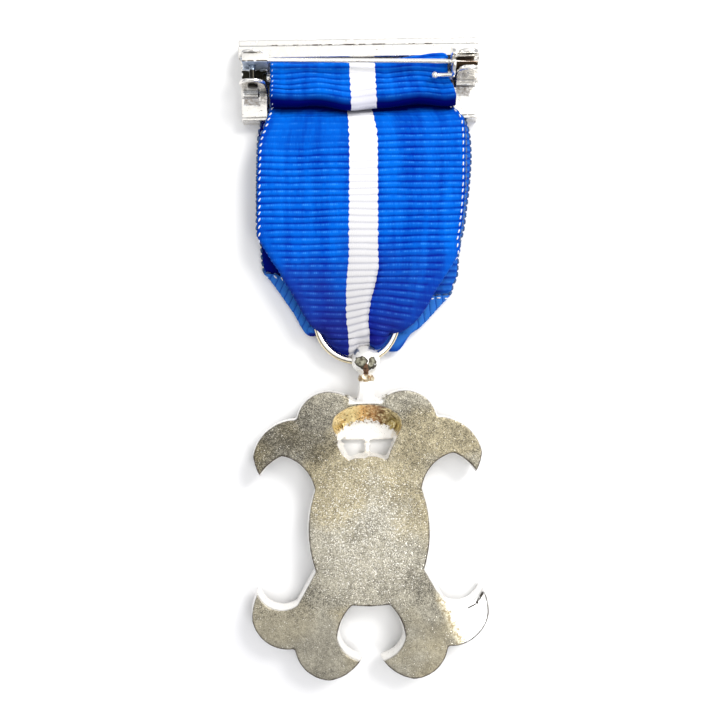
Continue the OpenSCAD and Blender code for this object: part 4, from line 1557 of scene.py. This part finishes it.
def pin_looks(n, group, x, y):
    """A painted brown reflection on the point, and a painted blue-grey reflection on the knuckle's front,
    with a broken dark line along its upper edge.
    """
    knuckle = n.range(x, -12.7 * MM, -12.9 * MM)
    edge = n.times(n.range(y, 41.14 * MM, 41.02 * MM), knuckle)
    edge = n.times(edge, n.range(n.noise(n.place(), 1900.0), 0.36, 0.46))
    front = n.times(n.range(y, 40.93 * MM, 40.88 * MM), knuckle)
    point = n.range(x, 12.9 * MM, 15.2 * MM)
    colour = n.blend(point, group.outputs["Color"], (0.4, 0.3, 0.23))
    colour = n.blend(front, n.blend(edge, colour, (0.07, 0.05, 0.035)), (0.4, 0.48, 0.62))
    n.shade(Base_Color=colour, Metallic=n.range(front, 0.0, 1.0, 1.0, 0.2))


def catch_looks(n, group, x, y):
    """The barrel gets painted shade below the pin's point, through the plating's dark mask."""
    barrel = n.range(x, 12.95 * MM, 13.15 * MM)
    n.link(n.times(barrel, n.range(y, 40.98 * MM, 40.8 * MM)), group.inputs["Mask"])


# Columns: node, body, slot, bevel in millimetres, the metal's colour, and its own marks
SMALL_PARTS = [
    ("hinge_rivet", "medal", "rivet_metal", 0.05, (0.05, 0.045, 0.035), rivet_looks),
    ("brooch_pin", "pin", "pin_metal", 0.1, SILVER, pin_looks),
    ("catch_lever", "catch", "catch_metal", 0.05, SILVER, catch_looks),
]
for node, body, slot, bevel, tint, looks in SMALL_PARTS:
    piece = bevelled(node, node + "_metal", bevel)
    metal, n, group = polished(slot, 0.2, Pits=0.3, Metal=(*tint, 1))
    looks(n, group, *n.split(n.place())[:2])
    finish_piece(piece, metal, body, slot, node)


# Surface, light and view


def add_floor():
    bpy.ops.mesh.primitive_plane_add(size=1.2, location=(0, 0, -0.00002))
    floor = bpy.context.object
    floor.name = "floor"
    material, n = new_material("floor_white", Roughness=0.6)
    x, y, _ = n.split(n.place())
    # Painted shade: a little darker towards one corner
    corner = n.range(n.plus(n.times(x, -1.6), n.times(y, -0.8)), 0.025, 0.09)
    n.shade(Base_Color=n.blend(corner, (0.95, 0.95, 0.95), (0.86, 0.86, 0.89)))
    set_material(floor, material)
    floor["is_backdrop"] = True


def add_light(name, place, target, size, power, colour=(1, 1, 1)):
    data = bpy.data.lights.new(name, "AREA")
    data.shape = "RECTANGLE"
    data.size, data.size_y = size
    data.energy = power
    data.color = colour
    light = new_object(name, data)
    light.location = place
    light.rotation_euler = (Vector(target) - Vector(place)).to_track_quat("-Z", "Y").to_euler()


# The room's light from the horizon up
ROOM_STOPS = [
    (0.0, (0.27, 0.28, 0.31)),
    (0.35, (0.42, 0.43, 0.46)),
    (0.8, (0.85, 0.85, 0.85)),
    (1.0, (1, 1, 1)),
]
PERSON_WAY = (0.05, -0.62, 0.78)


def add_world():
    """A white room, brighter overhead, with a soft dark shape where someone leans over the table."""
    world = bpy.data.worlds.new("world")
    world.use_nodes = True
    bpy.context.scene.world = world
    background = world.node_tree.nodes["Background"]
    n = Nodes(world.node_tree, background)
    way = n.add("ShaderNodeTexCoord").outputs["Generated"]
    room = n.ramp(n.split(way)[2], ROOM_STOPS)
    person = n.add("ShaderNodeVectorMath", {0: way, 1: PERSON_WAY}, operation="DISTANCE").outputs["Value"]
    n.shade(Color=n.blend(n.range(person, 0.5, 0.25), room, (0.1, 0.085, 0.07)))
    background.inputs["Strength"].default_value = 1.25


add_floor()
add_light("window", (0.28, 0.3, 0.38), (0, 0, 0), (0.22, 0.22), 2.0, (1, 0.985, 0.96))
add_light("side", (0.163, -0.18, 0.342), (0.016, -0.04, 0), (0.12, 0.12), 0.25)
add_world()
bpy.context.scene.view_settings.view_transform = "Standard"
bpy.context.scene.view_settings.look = "None"
bpy.context.scene.view_settings.exposure = 0.0

model_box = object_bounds()
boxes = {"cad": cad_box, "model": model_box}
{name: [list(corner) for corner in box] for name, box in boxes.items()}
